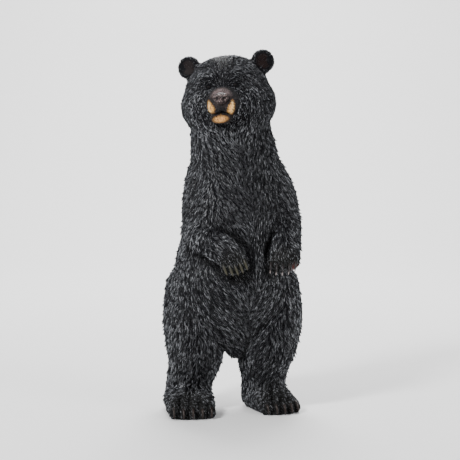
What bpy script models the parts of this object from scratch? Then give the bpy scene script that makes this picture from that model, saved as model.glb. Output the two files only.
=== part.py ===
"""Standing black bear statue, cast in one piece, with coarse locks of fur carved all over it.

The bear faces -Y and stands on its two flat soles at z = 0, with the origin under the middle of
its bounding box. The pose is written in shares of the bear's height: one unit is HEIGHT / 400, so
its numbers read as millimetres on a statue 400 mm tall. loft and ball turn them into metres.
"""
import math

import bmesh
import bpy
import numpy as np
from mathutils import Matrix, Vector

# Driving sizes, in metres
HEIGHT = 0.400
UNIT = HEIGHT / 400

# How finely the form is worked, and how many triangles the carving is held to
MASS_VOXEL = 2.6 * UNIT
FORM_VOXEL = 1.7 * UNIT
MASS_SMOOTHING = 10
FORM_SMOOTHING = 4
FACE_TRIANGLES = 26000
CARVED_TRIANGLES = 8050

# Level in the pose at which the soles are cut flat
SOLE_LEVEL = 1.2 * UNIT

# Which way the trunk and the head turn, in degrees about +Z, and how the head leans
TRUNK_YAW = 18
HEAD_YAW = -5
HEAD_ROLL = -5
HEAD_PITCH = -2
HEAD_CENTRE = (-8.5, -4, 354)

# Trunk stations from the crotch up: centre, half width, half depth
TRUNK = (
    ((-3, 8, 98), 46, 42),
    ((-1, 5, 122), 64, 55),
    ((-1, 1, 148), 65, 58),
    ((1, -1, 180), 61, 53),
    ((3, 0, 214), 54, 49),
    ((5, 2, 246), 52, 47),
    ((3, 4, 270), 48, 47),
    ((0, 4, 290), 46, 46),
    ((-2, 3, 306), 44, 44),
    ((-4, 1, 324), 43, 42),
)

# Legs from the hip down: centre, half width, half depth
RIGHT_LEG = (
    ((-37, 10, 140), 36, 42),
    ((-41, 2, 108), 35, 44),
    ((-42, -2, 82), 32.5, 39),
    ((-43.5, 3, 58), 28, 33),
    ((-48.8, 7, 36), 23.5, 29),
    ((-50.7, 6, 14), 24.5, 31),
)
LEFT_LEG = (
    ((37, 14, 140), 33, 42),
    ((40, 8, 108), 33, 44),
    ((38.5, 4, 82), 31.5, 38),
    ((34.5, 9, 58), 28, 32),
    ((34, 15, 36), 22, 28),
    ((34.5, 14, 14), 23, 29),
)

# Way the fur lies: a place on the body and the direction there
FLOW = (
    ((-37, -28, 317), (0.6, 0, -1)), ((-20, -42, 306), (0.9, 0, -1)),
    ((0, -45, 301), (0.9, 0, -1)), ((15, -42, 302), (0, 0, -1)),
    ((27, -33, 302), (-0.6, 0, -1)), ((38, -21, 306), (0.2, 0, -1)),
    ((-40, -23, 292), (0, 0, -1)), ((-27, -35, 279), (0.8, 0, -1)),
    ((-8, -43, 279), (1, 0, -1)), ((5, -45, 275), (0.2, 0, -1)),
    ((20, -42, 275), (-0.6, 0, -1)), ((30, -37, 274), (-0.2, 0, -1)),
    ((45, -19, 281), (0.5, 0, -1)), ((-48, -16, 260), (-0.35, 0, -1)),
    ((-35, -31, 254), (-0.7, 0, -1)), ((-11, -46, 255), (0.8, 0, -1)),
    ((8, -49, 254), (0.8, 0, -1)), ((21, -45, 252), (0, 0, -1)),
    ((37, -36, 253), (0.3, 0, -1)), ((55, -19, 253), (0.6, 0, -1)),
    ((-50, -23, 230), (-0.2, 0, -1)), ((-38, -34, 233), (-0.7, 0, -1)),
    ((-9, -50, 231), (0.9, 0, -1)), ((6, -51, 232), (1, 0, -1)),
    ((20, -49, 231), (0.1, 0, -1)), ((34, -43, 231), (-0.8, 0, -1)),
    ((55, -24, 230), (0.7, 0, -1)), ((65, -20, 223), (0.35, 0, -1)),
    ((-47, -38, 210), (-0.5, 0, -1)), ((-32, -44, 212), (-0.2, 0, -1)),
    ((-8, -54, 211), (1, 0, -1)), ((10, -55, 212), (1, 0, -1)),
    ((24, -51, 212), (-0.3, 0, -1)), ((38, -42, 208), (-0.7, 0, -1)),
    ((55, -34, 208), (0.4, 0, -1)), ((69, -30, 205), (0.3, 0, -1)),
    ((-43, -51, 197), (0.7, 0, -1)), ((-30, -62, 190), (1, 0, -0.7)),
    ((-16, -66, 188), (1, 0, -0.7)), ((-2, -69, 181), (0.4, 0, -1)),
    ((3, -68, 173), (0, 0, -1)), ((54, -53, 187), (0.25, 0, -1)),
    ((65, -53, 189), (0.2, 0, -1)), ((46, -57, 175), (0.4, 0, -1)),
    ((58, -58, 172), (0.3, 0, -1)), ((-46, -44, 170), (0.2, 0, -1)),
    ((-30, -54, 155), (0.7, 0, -1)), ((-9, -58, 148), (0.9, 0, -1)),
    ((10, -57, 158), (0.7, 0, -1)), ((19, -59, 146), (0.1, 0, -1)),
    ((31, -51, 170), (-0.3, 0, -1)), ((37, -50, 144), (-0.9, 0, -1)),
    ((54, -31, 144), (-0.7, 0, -1)), ((65, -23, 136), (0.2, 0, -1)),
    ((-62, -24, 147), (-0.4, 0, -1)), ((-69, -20, 126), (-0.1, 0, -1)),
    ((-53, -38, 129), (0.1, 0, -1)), ((-37, -49, 130), (0.8, 0, -1)),
    ((-14, -55, 126), (0.9, 0, -1)), ((6, -55, 126), (0.9, 0, -1)),
    ((18, -52, 120), (0, 0, -1)), ((30, -50, 125), (-0.9, 0, -1)),
    ((48, -33, 123), (-0.9, 0, -1)), ((63, -30, 114), (0.5, 0, -1)),
    ((71, -20, 124), (0.1, 0, -1)), ((-62, -32, 99), (-0.4, 0, -1)),
    ((-48, -40, 101), (-0.2, 0, -1)), ((-31, -42, 102), (0.5, 0, -1)),
    ((-9, -40, 99), (0.9, 0, -1)), ((8, -41, 101), (0.8, 0, -1)),
    ((20, -34, 97), (-0.4, 0, -1)), ((34, -33, 96), (-0.9, 0, -1)),
    ((45, -36, 97), (0.2, 0, -1)), ((58, -31, 94), (0.6, 0, -1)),
    ((-66, -28, 77), (-0.1, 0, -1)), ((-51, -38, 80), (-0.7, 0, -1)),
    ((-37, -42, 79), (-0.5, 0, -1)), ((-29, -38, 79), (0.5, 0, -1)),
    ((-14, -28, 77), (0.9, 0, -1)), ((7, -23, 76), (0.7, 0, -1)),
    ((28, -30, 76), (-0.9, 0, -1)), ((40, -33, 78), (-0.6, 0, -1)),
    ((54, -32, 79), (0.3, 0, -1)), ((63, -26, 78), (-0.2, 0, -1)),
    ((-67, -11, 47), (-0.2, 0, -1)), ((-54, -27, 49), (-0.7, 0, -1)),
    ((-42, -32, 52), (-0.3, 0, -1)), ((-30, -29, 50), (0.3, 0, -1)),
    ((-21, -26, 55), (-0.2, 0, -1)), ((20, -15, 44), (0, 0, -1)),
    ((30, -23, 52), (-0.8, 0, -1)), ((41, -24, 52), (-0.4, 0, -1)),
    ((55, -23, 57), (-0.3, 0, -1)), ((-67, -21, 25), (-0.1, 0, -1)),
    ((-54, -31, 27), (-0.2, 0, -1)), ((-39, -33, 26), (0.4, 0, -1)),
    ((-29, -24, 25), (0.4, 0, -1)), ((19, -6, 24), (0.1, 0, -1)),
    ((32, -13, 25), (-0.3, 0, -1)), ((47, -19, 22), (0.8, 0, -0.7)),
    ((57, -11, 23), (0.6, 0, -1)), ((-58, -50, 15), (0.5, 0, -1)),
    ((-41, -52, 14), (0.4, 0, -1)), ((-29, -50, 13), (0, 0, -1)),
    ((19, -6, 10), (0.8, 0, -0.7)), ((33, -28, 12), (1, 0, -0.8)),
    ((49, -31, 12), (0.6, 0, -1)), ((64, -22, 11), (0.5, 0, -1)),
    ((-76, 0, 130), (-0.15, -0.1, -1)), ((74, 5, 130), (0.1, -0.1, -1)),
    ((-45, 0, 300), (-0.1, 0.1, -1)), ((45, 0, 300), (0.1, 0.1, -1)),
    ((-58, 10, 190), (0, 0, -1)), ((62, 10, 190), (0, 0, -1)),
    ((-50, 42, 20), (0, 0.1, -1)), ((34, 46, 20), (0, 0.1, -1)),
    ((-45, 40, 60), (0, 0.1, -1)), ((38, 44, 60), (0, 0.1, -1)),
    ((-40, 55, 140), (0.3, 0, -1)), ((0, 64, 120), (0, 0.1, -1)), ((40, 58, 140), (-0.3, 0, -1)),
    ((-34, 46, 190), (0.3, 0, -1)), ((0, 56, 190), (0, 0, -1)), ((36, 46, 190), (-0.3, 0, -1)),
    ((-34, 42, 240), (0.3, 0, -1)), ((0, 52, 240), (0, 0, -1)), ((36, 42, 240), (-0.3, 0, -1)),
    ((0, 48, 290), (0, 0, -1)),
)

# Locks of fur: one in each cell of a grid, each a long scale that rises to its tip
LOCK_CELL = 9 * UNIT
LOCK_LENGTH = 21 * UNIT
LOCK_HALF_WIDTH = 6.4 * UNIT
LOCK_HEIGHT = 2.9 * UNIT
LOCK_SWING = 0.22
HEAD_LOCK_SHARE = 0.7
SEED = 7

# A lock in shares of its length: how far it starts behind its root, where it is highest, where it ends
LOCK_START = 0.12
LOCK_PEAK = 0.8
LOCK_END = 1.02
# and its half width, falling from the root to the tip
LOCK_ROOT_WIDTH = 1.25
LOCK_TAPER = 1.15
LOCK_TIP_WIDTH = 0.08

# Claws: radius at the toe and at the point
CLAW_RADIUS = 2.1 * UNIT
CLAW_POINT = 0.7 * UNIT

# Toes of a fore paw: how far they spread and rise at the root and at the end, in shares of the
# paw's half width and thickness, how far the middle one leads, and how far the outer ones fall back
PAW_TOE_SPREAD = (0.74, 0.84)
PAW_TOE_RISE = (0.42, 0.2)
PAW_TOE_LEAD = 2.5
PAW_TOE_ARC = 3.2
PAW_TOE_RADII = (3.7, 4.4)
# Its claws: base, bend and point, each ahead of the toe's end and out from the back of the paw
PAW_CLAW = ((-2.5, 4.4), (2.4, 4.8), (6, 0.8))

# Toes of a hind foot, in the same way
FOOT_TOE_SPREAD = (0.72, 0.80)
FOOT_TOE_RISE = (0.56, 0.24)
FOOT_TOE_ROOT = 19
FOOT_TOE_ARC = (3, 5)
FOOT_TOE_RADII = ((4.6, 5.4), (4.8, 6.4), (4.5, 6.2))
# Its claws: base, bend and point, each ahead of the toe's end and above it
FOOT_CLAW = ((0.5, 5.8), (4.6, 4.9), (6.2, -4.6))

# Face, in the head's frame: middle of the muzzle, nose pad, eyes and their sockets
MUZZLE_MIDDLE = (0, -52, -13)
MUZZLE_REACH = 25
NOSE_PLACE = (0, -62.5, -8.5)
NOSE_RADII = (8.8, 5.4, 6.6)
EYE_PLACE = (14.5, -37.2, 6.5)
EYE_RADIUS = 3.2
SOCKET_DEPTH = 2.4
SOCKET_REACH = 7
EARS_MIDDLE = (2.7, 4, 32)
EARS_APART = 82
EAR_RADII = (12.5, 6, 12.5)
EAR_YAW = 16
EAR_HOLLOW = 3.4
EAR_RIM = 2.4


def yawed(degrees):
    return Matrix.Rotation(math.radians(degrees), 4, "Z")


def head_matrix():
    """The head's own frame in units: origin in the skull, +X to the bear's left, -Y out along the muzzle."""
    roll = Matrix.Rotation(math.radians(HEAD_ROLL), 4, "Y")
    pitch = Matrix.Rotation(math.radians(HEAD_PITCH), 4, "X")
    return Matrix.Translation(HEAD_CENTRE) @ yawed(HEAD_YAW) @ roll @ pitch


def curve_through(values, per_span):
    """Catmull-Rom curve through rows of values."""
    rows = np.array(values, float)
    padded = np.vstack([2 * rows[0] - rows[1], rows, 2 * rows[-1] - rows[-2]])
    found = []
    for i in range(1, len(padded) - 2):
        a, b, c, d = padded[i - 1 : i + 3]
        for t in np.arange(per_span) / per_span:
            found.append(
                0.5 * (2 * b + (c - a) * t + (2 * a - 5 * b + 4 * c - d) * t**2
                       + (3 * b - a - 3 * c + d) * t**3)
            )
    found.append(rows[-1])
    return np.array(found)


def loft(bm, stations, front=(0, -1, 0), sides=28, per_span=5, dome=0.7):
    """A limb: ellipses carried along a curve through the stations, with a dome on each end.

    front is the way in which the second of a station's two half widths is measured.
    """
    rows = curve_through([(*c, w, d) for c, w, d in stations], per_span) * UNIT
    centres, wide, deep = rows[:, :3], rows[:, 3], rows[:, 4]
    along = np.gradient(centres, axis=0)
    along /= np.linalg.norm(along, axis=1)[:, None]
    fore = np.array(front, float) - along * (along @ np.array(front, float))[:, None]
    fore /= np.linalg.norm(fore, axis=1)[:, None]
    side = np.cross(along, fore)
    turns = np.arange(sides) * 2 * math.pi / sides
    outline = np.cos(turns)[:, None], np.sin(turns)[:, None]
    rings = []

    def ring(i, share, shift):
        middle = centres[i] + along[i] * shift
        rings.append(middle + share * (outline[0] * side[i] * wide[i] + outline[1] * fore[i] * deep[i]))

    last = len(rows) - 1
    ends = [math.radians(a) for a in (72, 48, 24)]
    for a in ends:
        ring(0, math.cos(a), -math.sin(a) * dome * min(wide[0], deep[0]))
    for i in range(last + 1):
        ring(i, 1, 0)
    for a in reversed(ends):
        ring(last, math.cos(a), math.sin(a) * dome * min(wide[last], deep[last]))
    made = [[bm.verts.new(p) for p in points] for points in rings]
    for low, high in zip(made, made[1:]):
        for k in range(sides):
            n = (k + 1) % sides
            bm.faces.new((low[k], low[n], high[n], high[k]))
    bm.faces.new(reversed(made[0]))
    bm.faces.new(made[-1])


def ball(bm, centre, radii, frame=Matrix.Identity(4), turn=(0, 0, 0)):
    """An ellipsoid in a frame, turned by three angles in degrees."""
    metres = Matrix.Scale(UNIT, 4)
    spin = Matrix.Translation(centre)
    for angle, axis in zip(turn, "XYZ"):
        spin = spin @ Matrix.Rotation(math.radians(angle), 4, axis)
    made = bmesh.ops.create_uvsphere(bm, u_segments=24, v_segments=16, radius=1)
    placed = metres @ frame @ spin @ Matrix.Diagonal((*radii, 1))
    bmesh.ops.transform(bm, matrix=placed, verts=made["verts"])


def ear_place(side):
    return Vector(EARS_MIDDLE) + Vector((side * EARS_APART / 2, 0, 0))


def in_frame(frame, stations):
    return [((frame @ Vector(c))[:], w, d) for c, w, d in stations]


def new_object(name, bm):
    mesh = bpy.data.meshes.new(name)
    bmesh.ops.recalc_face_normals(bm, faces=bm.faces)
    bm.to_mesh(mesh)
    bm.free()
    obj = bpy.data.objects.new(name, mesh)
    bpy.context.scene.collection.objects.link(obj)
    return obj


def finished(obj):
    """The object's mesh with its modifiers carried out, and the object taken away."""
    bpy.context.view_layer.update()
    graph = bpy.context.evaluated_depsgraph_get()
    mesh = bpy.data.meshes.new_from_object(obj.evaluated_get(graph))
    bpy.data.objects.remove(obj)
    return mesh


def fused(bm, name, voxel, rounds):
    """Overlapping closed shapes made one skin, its joins rounded by smoothing."""
    obj = new_object(name, bm)
    remesh = obj.modifiers.new("fuse", "REMESH")
    remesh.mode = "VOXEL"
    remesh.voxel_size = voxel
    smooth = obj.modifiers.new("round", "SMOOTH")
    smooth.factor = 0.5
    smooth.iterations = rounds
    return finished(obj)


def masses():
    """Trunk, limbs and skull, which flow into each other."""
    bm = bmesh.new()
    head = head_matrix()
    head_up = head.to_3x3() @ Vector((0, 0, 1))
    trunk_front = yawed(TRUNK_YAW) @ Vector((0, -1, 0))
    loft(bm, TRUNK, front=trunk_front)
    loft(bm, RIGHT_LEG, front=trunk_front)
    loft(bm, LEFT_LEG, front=yawed(26) @ Vector((0, -1, 0)))
    # Rump, belly and shoulder hump
    ball(bm, (-26, 24, 112), (40, 36, 44))
    ball(bm, (24, 28, 112), (40, 36, 44))
    ball(bm, (11, -16, 150), (46, 42, 54), turn=(0, 0, TRUNK_YAW))
    ball(bm, (2, 20, 262), (46, 34, 44))
    # Shoulders and upper arms
    loft(bm, (((-30, 4, 266), 20, 26), ((-36, 0, 240), 18.5, 27), ((-38, -4, 210), 17.5, 23)))
    loft(bm, (((37, 6, 264), 20, 26), ((47, 4, 240), 21.5, 27), ((54, 2, 208), 19.5, 23)))
    # Throat and nape
    ball(bm, (-3, -12, 314), (37, 34, 32))
    ball(bm, (-2, 20, 322), (38, 30, 44))
    # Skull, cheeks, muzzle and brows
    ball(bm, (2, 2, 0), (46.5, 43, 40), head)
    ball(bm, (2, 4, 12), (41, 38, 29.5), head)
    ball(bm, (-21.5, -6, -13), (27.5, 32, 29), head)
    ball(bm, (25, -4, -13), (29.5, 33, 29), head)
    ball(bm, (0, -4, -26), (38, 34, 22), head)
    loft(bm, in_frame(head, (((0, -20, -10), 25, 22), ((0, -38, -12), 19, 18), ((0, -50, -13), 15.5, 14.5))),
         front=head_up, dome=0.5)
    ball(bm, (-13.5, -27, 15), (14, 14, 8), head, turn=(0, 14, 0))
    ball(bm, (13.5, -27, 15), (14, 14, 8), head, turn=(0, -14, 0))
    return fused(bm, "masses", MASS_VOXEL, MASS_SMOOTHING)


def paw(bm, wrist, tip, across, width, thick):
    """A fore paw from its wrist, and its toes in a row. The claws' places come back."""
    wrist, tip, across = Vector(wrist), Vector(tip), Vector(across).normalized()
    middle = wrist.lerp(tip, 0.55)
    ahead = (tip - wrist).normalized()
    back = across.cross(ahead).normalized()
    if back.y > 0:
        back = -back
    loft(bm, ((wrist, width, thick), (middle, width, thick * 0.9), (tip, width * 0.86, thick * 0.66)),
         front=back, dome=0.5)
    claws = []
    for place in (-1, -0.5, 0, 0.5, 1):
        side = across * place * width
        lead = PAW_TOE_LEAD - PAW_TOE_ARC * place * place
        root = middle + side * PAW_TOE_SPREAD[0] + back * thick * PAW_TOE_RISE[0]
        end = tip + side * PAW_TOE_SPREAD[1] + ahead * lead + back * thick * PAW_TOE_RISE[1]
        loft(bm, ((root, *PAW_TOE_RADII), (end, *PAW_TOE_RADII)), front=back, sides=12, dome=0.9)
        claws.append([end + ahead * far + back * out for far, out in PAW_CLAW])
    return claws


def foot(bm, heel, toe, width, height):
    """A hind foot from its heel to its five toes. The claws' places come back."""
    heel, toe = Vector(heel), Vector(toe)
    ahead = (toe - heel).normalized()
    across = Vector((-ahead.y, ahead.x, 0))
    up = Vector((0, 0, 1))
    loft(bm,
         ((heel + up * height * 0.55, width * 0.96, height * 0.66),
          (heel.lerp(toe, 0.45) + up * height * 0.50, width, height * 0.64),
          (toe - ahead * 14 + up * height * 0.38, width * 0.96, height * 0.48),
          (toe - ahead * 5 + up * height * 0.32, width * 0.88, height * 0.38)),
         front=up, dome=0.5)
    claws = []
    for place in (-1, -0.5, 0, 0.5, 1):
        side = across * place * width
        back = FOOT_TOE_ROOT + FOOT_TOE_ARC[0] * place * place
        root = toe - ahead * back + side * FOOT_TOE_SPREAD[0] + up * height * FOOT_TOE_RISE[0]
        back = 1.5 + FOOT_TOE_ARC[1] * place * place
        end = toe - ahead * back + side * FOOT_TOE_SPREAD[1] + up * height * FOOT_TOE_RISE[1]
        middle = root.lerp(end, 0.6) + up * 1.6
        stations = zip((root, middle, end), FOOT_TOE_RADII)
        loft(bm, [(spot, *radii) for spot, radii in stations], front=up, sides=14, dome=0.85)
        claws.append([end + ahead * far + up * high for far, high in FOOT_CLAW])
    return claws


def features(bm):
    """What stands crisply off the masses: face, ears, paws, feet and tail, with the claws' places."""
    head = head_matrix()
    head_up = head.to_3x3() @ Vector((0, 0, 1))
    loft(bm, in_frame(head, (((0, -36, -12), 17.5, 16), ((0, -50, -13), 15.5, 13.5), ((0, -57, -13), 13.5, 11.5))),
         front=head_up, dome=0.55)
    ball(bm, (0, -47, -27.5), (11.5, 13, 7.5), head)
    for side in (-1, 1):
        # Ear: a disc on a root
        ear = ear_place(side)
        ball(bm, ear, EAR_RADII, head, turn=(0, 0, side * EAR_YAW))
        ball(bm, ear - Vector((side * 7, -2, 7)), (12, 9, 12), head)
    # Forearms, hung before the belly, and their paws
    loft(bm, (((-40, -10, 204), 17, 17), ((-31, -34, 194), 16, 17), ((-16, -50, 186.5), 14, 16),
              ((-3, -60, 177.5), 12, 14)), front=(0.5, -0.1, 0.85))
    loft(bm, (((59.5, -2, 214), 14, 18), ((58.5, -14, 202), 15, 17), ((56.5, -28, 190), 15.2, 15),
              ((55.8, -41, 179), 15.5, 13)))
    claws = paw(bm, (-3, -59.5, 178), (2.6, -66, 165), (1, 0.05, 0.25), 13.5, 12)
    claws += paw(bm, (55.5, -41, 180), (53.8, -48, 167), (1, 0.05, 0.05), 16, 12)
    # Feet, with the tuft behind the right one's outer toes, and the fold at the crotch
    claws += foot(bm, (-52.5, 16, 0), (-43.5, -62, 0), 25.5, 27)
    claws += foot(bm, (31, 25, 0), (55.5, -33, 0), 22.5, 26)
    ball(bm, (-64.5, 12, 7), (11, 15, 9))
    ball(bm, (4, 6, 73), (13, 28, 12.5))
    # Tail
    ball(bm, (2, 60, 120), (9, 9, 14), turn=(20, 0, 0))
    return claws


def form():
    """The whole smooth form before its fur, and the claws' places."""
    bm = bmesh.new()
    bm.from_mesh(masses())
    claws = features(bm)
    return fused(bm, "form", FORM_VOXEL, FORM_SMOOTHING), claws


def mesh_arrays(mesh):
    points = np.empty(len(mesh.vertices) * 3)
    mesh.vertices.foreach_get("co", points)
    normals = np.empty(len(mesh.vertices) * 3)
    mesh.vertices.foreach_get("normal", normals)
    return points.reshape(-1, 3), normals.reshape(-1, 3)


def smooth_step(low, high, x):
    t = np.clip((x - low) / (high - low), 0, 1)
    return t * t * (3 - 2 * t)


def in_head(points):
    """Points seen from the head's own frame."""
    inverse = np.array(head_matrix().inverted())
    return points @ inverse[:3, :3].T + inverse[:3, 3]


def fur_flow(points, normals):
    """Unit vectors along the skin in the way the fur lies.

    Over the body they are a mean of the directions in FLOW, weighed by nearness.
    """
    points = points / UNIT
    places = np.array([p for p, _ in FLOW], float)
    ways = np.array([d for _, d in FLOW], float)
    gaps = ((points[:, None, :] - places[None]) ** 2).sum(2)
    weights = 1 / (gaps + 60) ** 2
    way = weights @ ways / weights.sum(1)[:, None]
    seen = in_head(points)
    share = smooth_step(-50, -32, seen[:, 2])[:, None]
    way = unit_rows(way) * (1 - share) + head_flow(seen) @ np.array(head_matrix())[:3, :3].T * share
    return unit_rows(way - normals * (way * normals).sum(1)[:, None])


def head_flow(seen):
    """The same over the head, in its own frame.

    The fur runs up from the nose between the eyes, turns out over the brows and falls round the
    muzzle in rings. Behind the ears it falls straight, and on an ear it runs out from its root.
    """
    side = np.sign(seen[:, 0])
    off = seen - np.array(MUZZLE_MIDDLE)
    rings = unit_rows(np.stack((side * off[:, 2], 0 * side, -np.abs(off[:, 0])), axis=1))
    from_nose = unit_rows(seen - np.array(NOSE_PLACE))
    middle = (1 - smooth_step(3, 17, np.abs(seen[:, 0])))[:, None]
    way = rings * (1 - middle) + from_nose * middle
    behind = smooth_step(-10, 14, seen[:, 1])[:, None]
    way = way * (1 - behind) + np.array((0, 0.4, -0.9)) * behind
    for side in (-1, 1):
        from_root = seen - np.array(ear_place(side) - Vector((side * 8, 0, 10)))
        on_ear = 1 - smooth_step(12, 17, np.linalg.norm(seen - np.array(ear_place(side)), axis=1))
        way = way * (1 - on_ear[:, None]) + unit_rows(from_root) * on_ear[:, None]
    return unit_rows(way)


def unit_rows(rows):
    return rows / np.maximum(np.linalg.norm(rows, axis=1), 1e-9)[:, None]


def lock_strength(points, claws):
    """How deep the locks are carved: full on the body, none on nose, soles and toe tips."""
    points = points / UNIT
    seen = in_head(points)
    strength = smooth_step(18, 34, np.linalg.norm(seen - np.array(MUZZLE_MIDDLE), axis=1))
    strength *= smooth_step(4, 16, points[:, 2])
    for side in (-1, 1):
        off_ear = np.linalg.norm(seen - np.array(ear_place(side)), axis=1)
        strength *= 0.25 + 0.75 * smooth_step(10, 17, off_ear)
    for base, _, _ in claws:
        strength *= smooth_step(6, 20, np.linalg.norm(points - np.array(base), axis=1))
    size = 1 - (1 - HEAD_LOCK_SHARE) * smooth_step(-45, -25, seen[:, 2])
    return strength, size


def carve_locks(mesh, claws):
    """Raise the skin in overlapping pointed locks, each rising from its root to its tip."""
    points, normals = mesh_arrays(mesh)
    way = fur_flow(points, normals)
    strength, size = lock_strength(points, claws)
    rng = np.random.default_rng(SEED)
    order = rng.permutation(len(points))
    cells = np.floor(points[order] / LOCK_CELL).astype(int)
    _, first = np.unique(cells, axis=0, return_index=True)
    by_level = np.argsort(points[:, 2], kind="stable")
    levels = points[by_level, 2]
    raised = np.zeros(len(points))
    for root in order[np.sort(first)]:
        if strength[root] < 0.02:
            continue
        length = LOCK_LENGTH * size[root] * rng.uniform(0.85, 1.2)
        half = LOCK_HALF_WIDTH * size[root] * rng.uniform(0.85, 1.15)
        high = LOCK_HEIGHT * size[root] * strength[root] * rng.uniform(0.8, 1.15)
        swing = rng.uniform(-LOCK_SWING, LOCK_SWING)
        across = np.cross(normals[root], way[root])
        heading = way[root] * math.cos(swing) + across * math.sin(swing)
        across = np.cross(normals[root], heading)
        low, top = np.searchsorted(levels, points[root, 2] + np.array((-length, length)))
        near = by_level[low:top]
        near = near[normals[near] @ normals[root] > 0.2]
        off = points[near] - points[root]
        close = (off * off).sum(1) < length * length
        near, off = near[close], off[close]
        # along runs from 0 where the lock starts to 1 at its tip, side from -1 to 1 across it
        along = off @ heading / length + LOCK_START
        wide = np.clip(LOCK_ROOT_WIDTH - LOCK_TAPER * along * along, LOCK_TIP_WIDTH, 1)
        side = off @ across / (half * wide)
        fall = (LOCK_END - along) / (LOCK_END - LOCK_PEAK)
        rise = np.clip(np.where(along < LOCK_PEAK, along / LOCK_PEAK, fall), 0, 1)
        lift = high * rise * np.clip(1 - side * side, 0, 1) ** 0.75
        np.maximum.at(raised, near, lift)
    points = points + normals * raised[:, None]
    mesh.vertices.foreach_set("co", points.ravel())
    mesh.update()


def sink_eyes_and_ears(mesh):
    """Press a shallow socket around each eye and a bowl into the front of each ear."""
    points, normals = mesh_arrays(mesh)
    seen = in_head(points / UNIT)
    facing = normals @ np.array(head_matrix())[:3, :3]
    for side in (-1, 1):
        off_eye = np.linalg.norm(seen - np.array(EYE_PLACE) * (side, 1, 1), axis=1)
        depth = SOCKET_DEPTH * np.exp(-((off_eye / SOCKET_REACH) ** 2))
        turn = math.radians(side * EAR_YAW)
        off = seen - np.array(ear_place(side))
        across = off @ np.array((math.cos(turn), math.sin(turn), 0))
        from_middle = np.hypot(across, off[:, 2]) / (EAR_RADII[0] - EAR_RIM)
        front = facing @ np.array((math.sin(turn), -math.cos(turn), 0)) > 0.1
        front &= np.linalg.norm(off, axis=1) < EAR_RADII[0] * 1.2
        depth += front * EAR_HOLLOW * np.clip(1 - from_middle**2, 0, 1)
        points -= normals * (depth * UNIT)[:, None]
    mesh.vertices.foreach_set("co", points.ravel())
    mesh.update()


def thinned(mesh, triangles, spare_face=False):
    """The skin in fewer triangles, most of them where it bends, with the muzzle left as it is."""
    obj = bpy.data.objects.new("carving", mesh)
    bpy.context.scene.collection.objects.link(obj)
    fewer = obj.modifiers.new("fewer", "DECIMATE")
    fewer.ratio = triangles / sum(len(face.vertices) - 2 for face in mesh.polygons)
    fewer.use_collapse_triangulate = True
    if spare_face:
        points, _ = mesh_arrays(mesh)
        off_muzzle = np.linalg.norm(in_head(points / UNIT) - np.array(MUZZLE_MIDDLE), axis=1)
        body = obj.vertex_groups.new(name="body")
        body.add(np.flatnonzero(off_muzzle > MUZZLE_REACH).tolist(), 1.0, "REPLACE")
        fewer.vertex_group = body.name
    return finished(obj)


def crisp_details(claws):
    """What is joined on sharp: claws, nose pad and eyes."""
    bm = bmesh.new()
    add_claws(bm, claws)
    head = head_matrix()
    metres = Matrix.Scale(UNIT, 4)
    nose = bmesh.ops.create_uvsphere(bm, u_segments=14, v_segments=8, radius=1)
    placed = metres @ head @ Matrix.Translation(NOSE_PLACE) @ Matrix.Diagonal((*NOSE_RADII, 1))
    bmesh.ops.transform(bm, matrix=placed, verts=nose["verts"])
    for side in (-1, 1):
        eye = bmesh.ops.create_icosphere(bm, subdivisions=2, radius=EYE_RADIUS)
        place = Vector((side * EYE_PLACE[0], EYE_PLACE[1], EYE_PLACE[2]))
        bmesh.ops.transform(bm, matrix=metres @ head @ Matrix.Translation(place), verts=eye["verts"])
    bmesh.ops.triangulate(bm, faces=bm.faces)
    return new_object("details", bm)


def add_claws(bm, claws):
    """Curved six-sided claws, each carried through three stations and sunk in its toe."""
    for base, bend, tip in claws:
        ahead = (bend - base).normalized()
        side = ahead.cross(Vector((0, 0, 1))).normalized()
        stations = ((base - ahead * 3, ahead, CLAW_RADIUS),
                    (bend, (tip - base).normalized(), CLAW_RADIUS * 0.9),
                    (tip, (tip - bend).normalized(), CLAW_POINT))
        rings = []
        for centre, along, radius in stations:
            up = side.cross(along).normalized()
            turns = [k * math.pi / 3 for k in range(6)]
            rings.append([
                bm.verts.new(centre * UNIT + (side * math.cos(t) + up * math.sin(t)) * radius)
                for t in turns
            ])
        for low, high in zip(rings, rings[1:]):
            for k in range(6):
                bm.faces.new((low[k], low[(k + 1) % 6], high[(k + 1) % 6], high[k]))
        bm.faces.new(rings[0])
        bm.faces.new(rings[-1])


def cut_soles(mesh):
    """Cut the feet flat and close the cuts."""
    bm = bmesh.new()
    bm.from_mesh(mesh)
    everything = bm.verts[:] + bm.edges[:] + bm.faces[:]
    cut = bmesh.ops.bisect_plane(
        bm, geom=everything, plane_co=(0, 0, SOLE_LEVEL), plane_no=(0, 0, 1), clear_inner=True
    )
    rim = [e for e in cut["geom_cut"] if isinstance(e, bmesh.types.BMEdge)]
    bmesh.ops.triangle_fill(bm, use_beauty=True, use_dissolve=False, edges=rim, normal=(0, 0, -1))
    bmesh.ops.recalc_face_normals(bm, faces=bm.faces)
    bm.to_mesh(mesh)
    bm.free()


def stand(mesh):
    """Bring the soles to z = 0 and the middle of the bounding box over the origin."""
    points, _ = mesh_arrays(mesh)
    low, high = points.min(axis=0), points.max(axis=0)
    middle = (low + high) / 2
    mesh.transform(Matrix.Translation((-middle[0], -middle[1], -low[2])))


def coat():
    material = bpy.data.materials.new("painted_resin")
    material.use_nodes = True
    shader = material.node_tree.nodes["Principled BSDF"]
    shader.inputs["Base Color"].default_value = (0.022, 0.022, 0.027, 1)
    shader.inputs["Roughness"].default_value = 0.5
    return material


def clear_scene():
    for obj in list(bpy.data.objects):
        bpy.data.objects.remove(obj)


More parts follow.
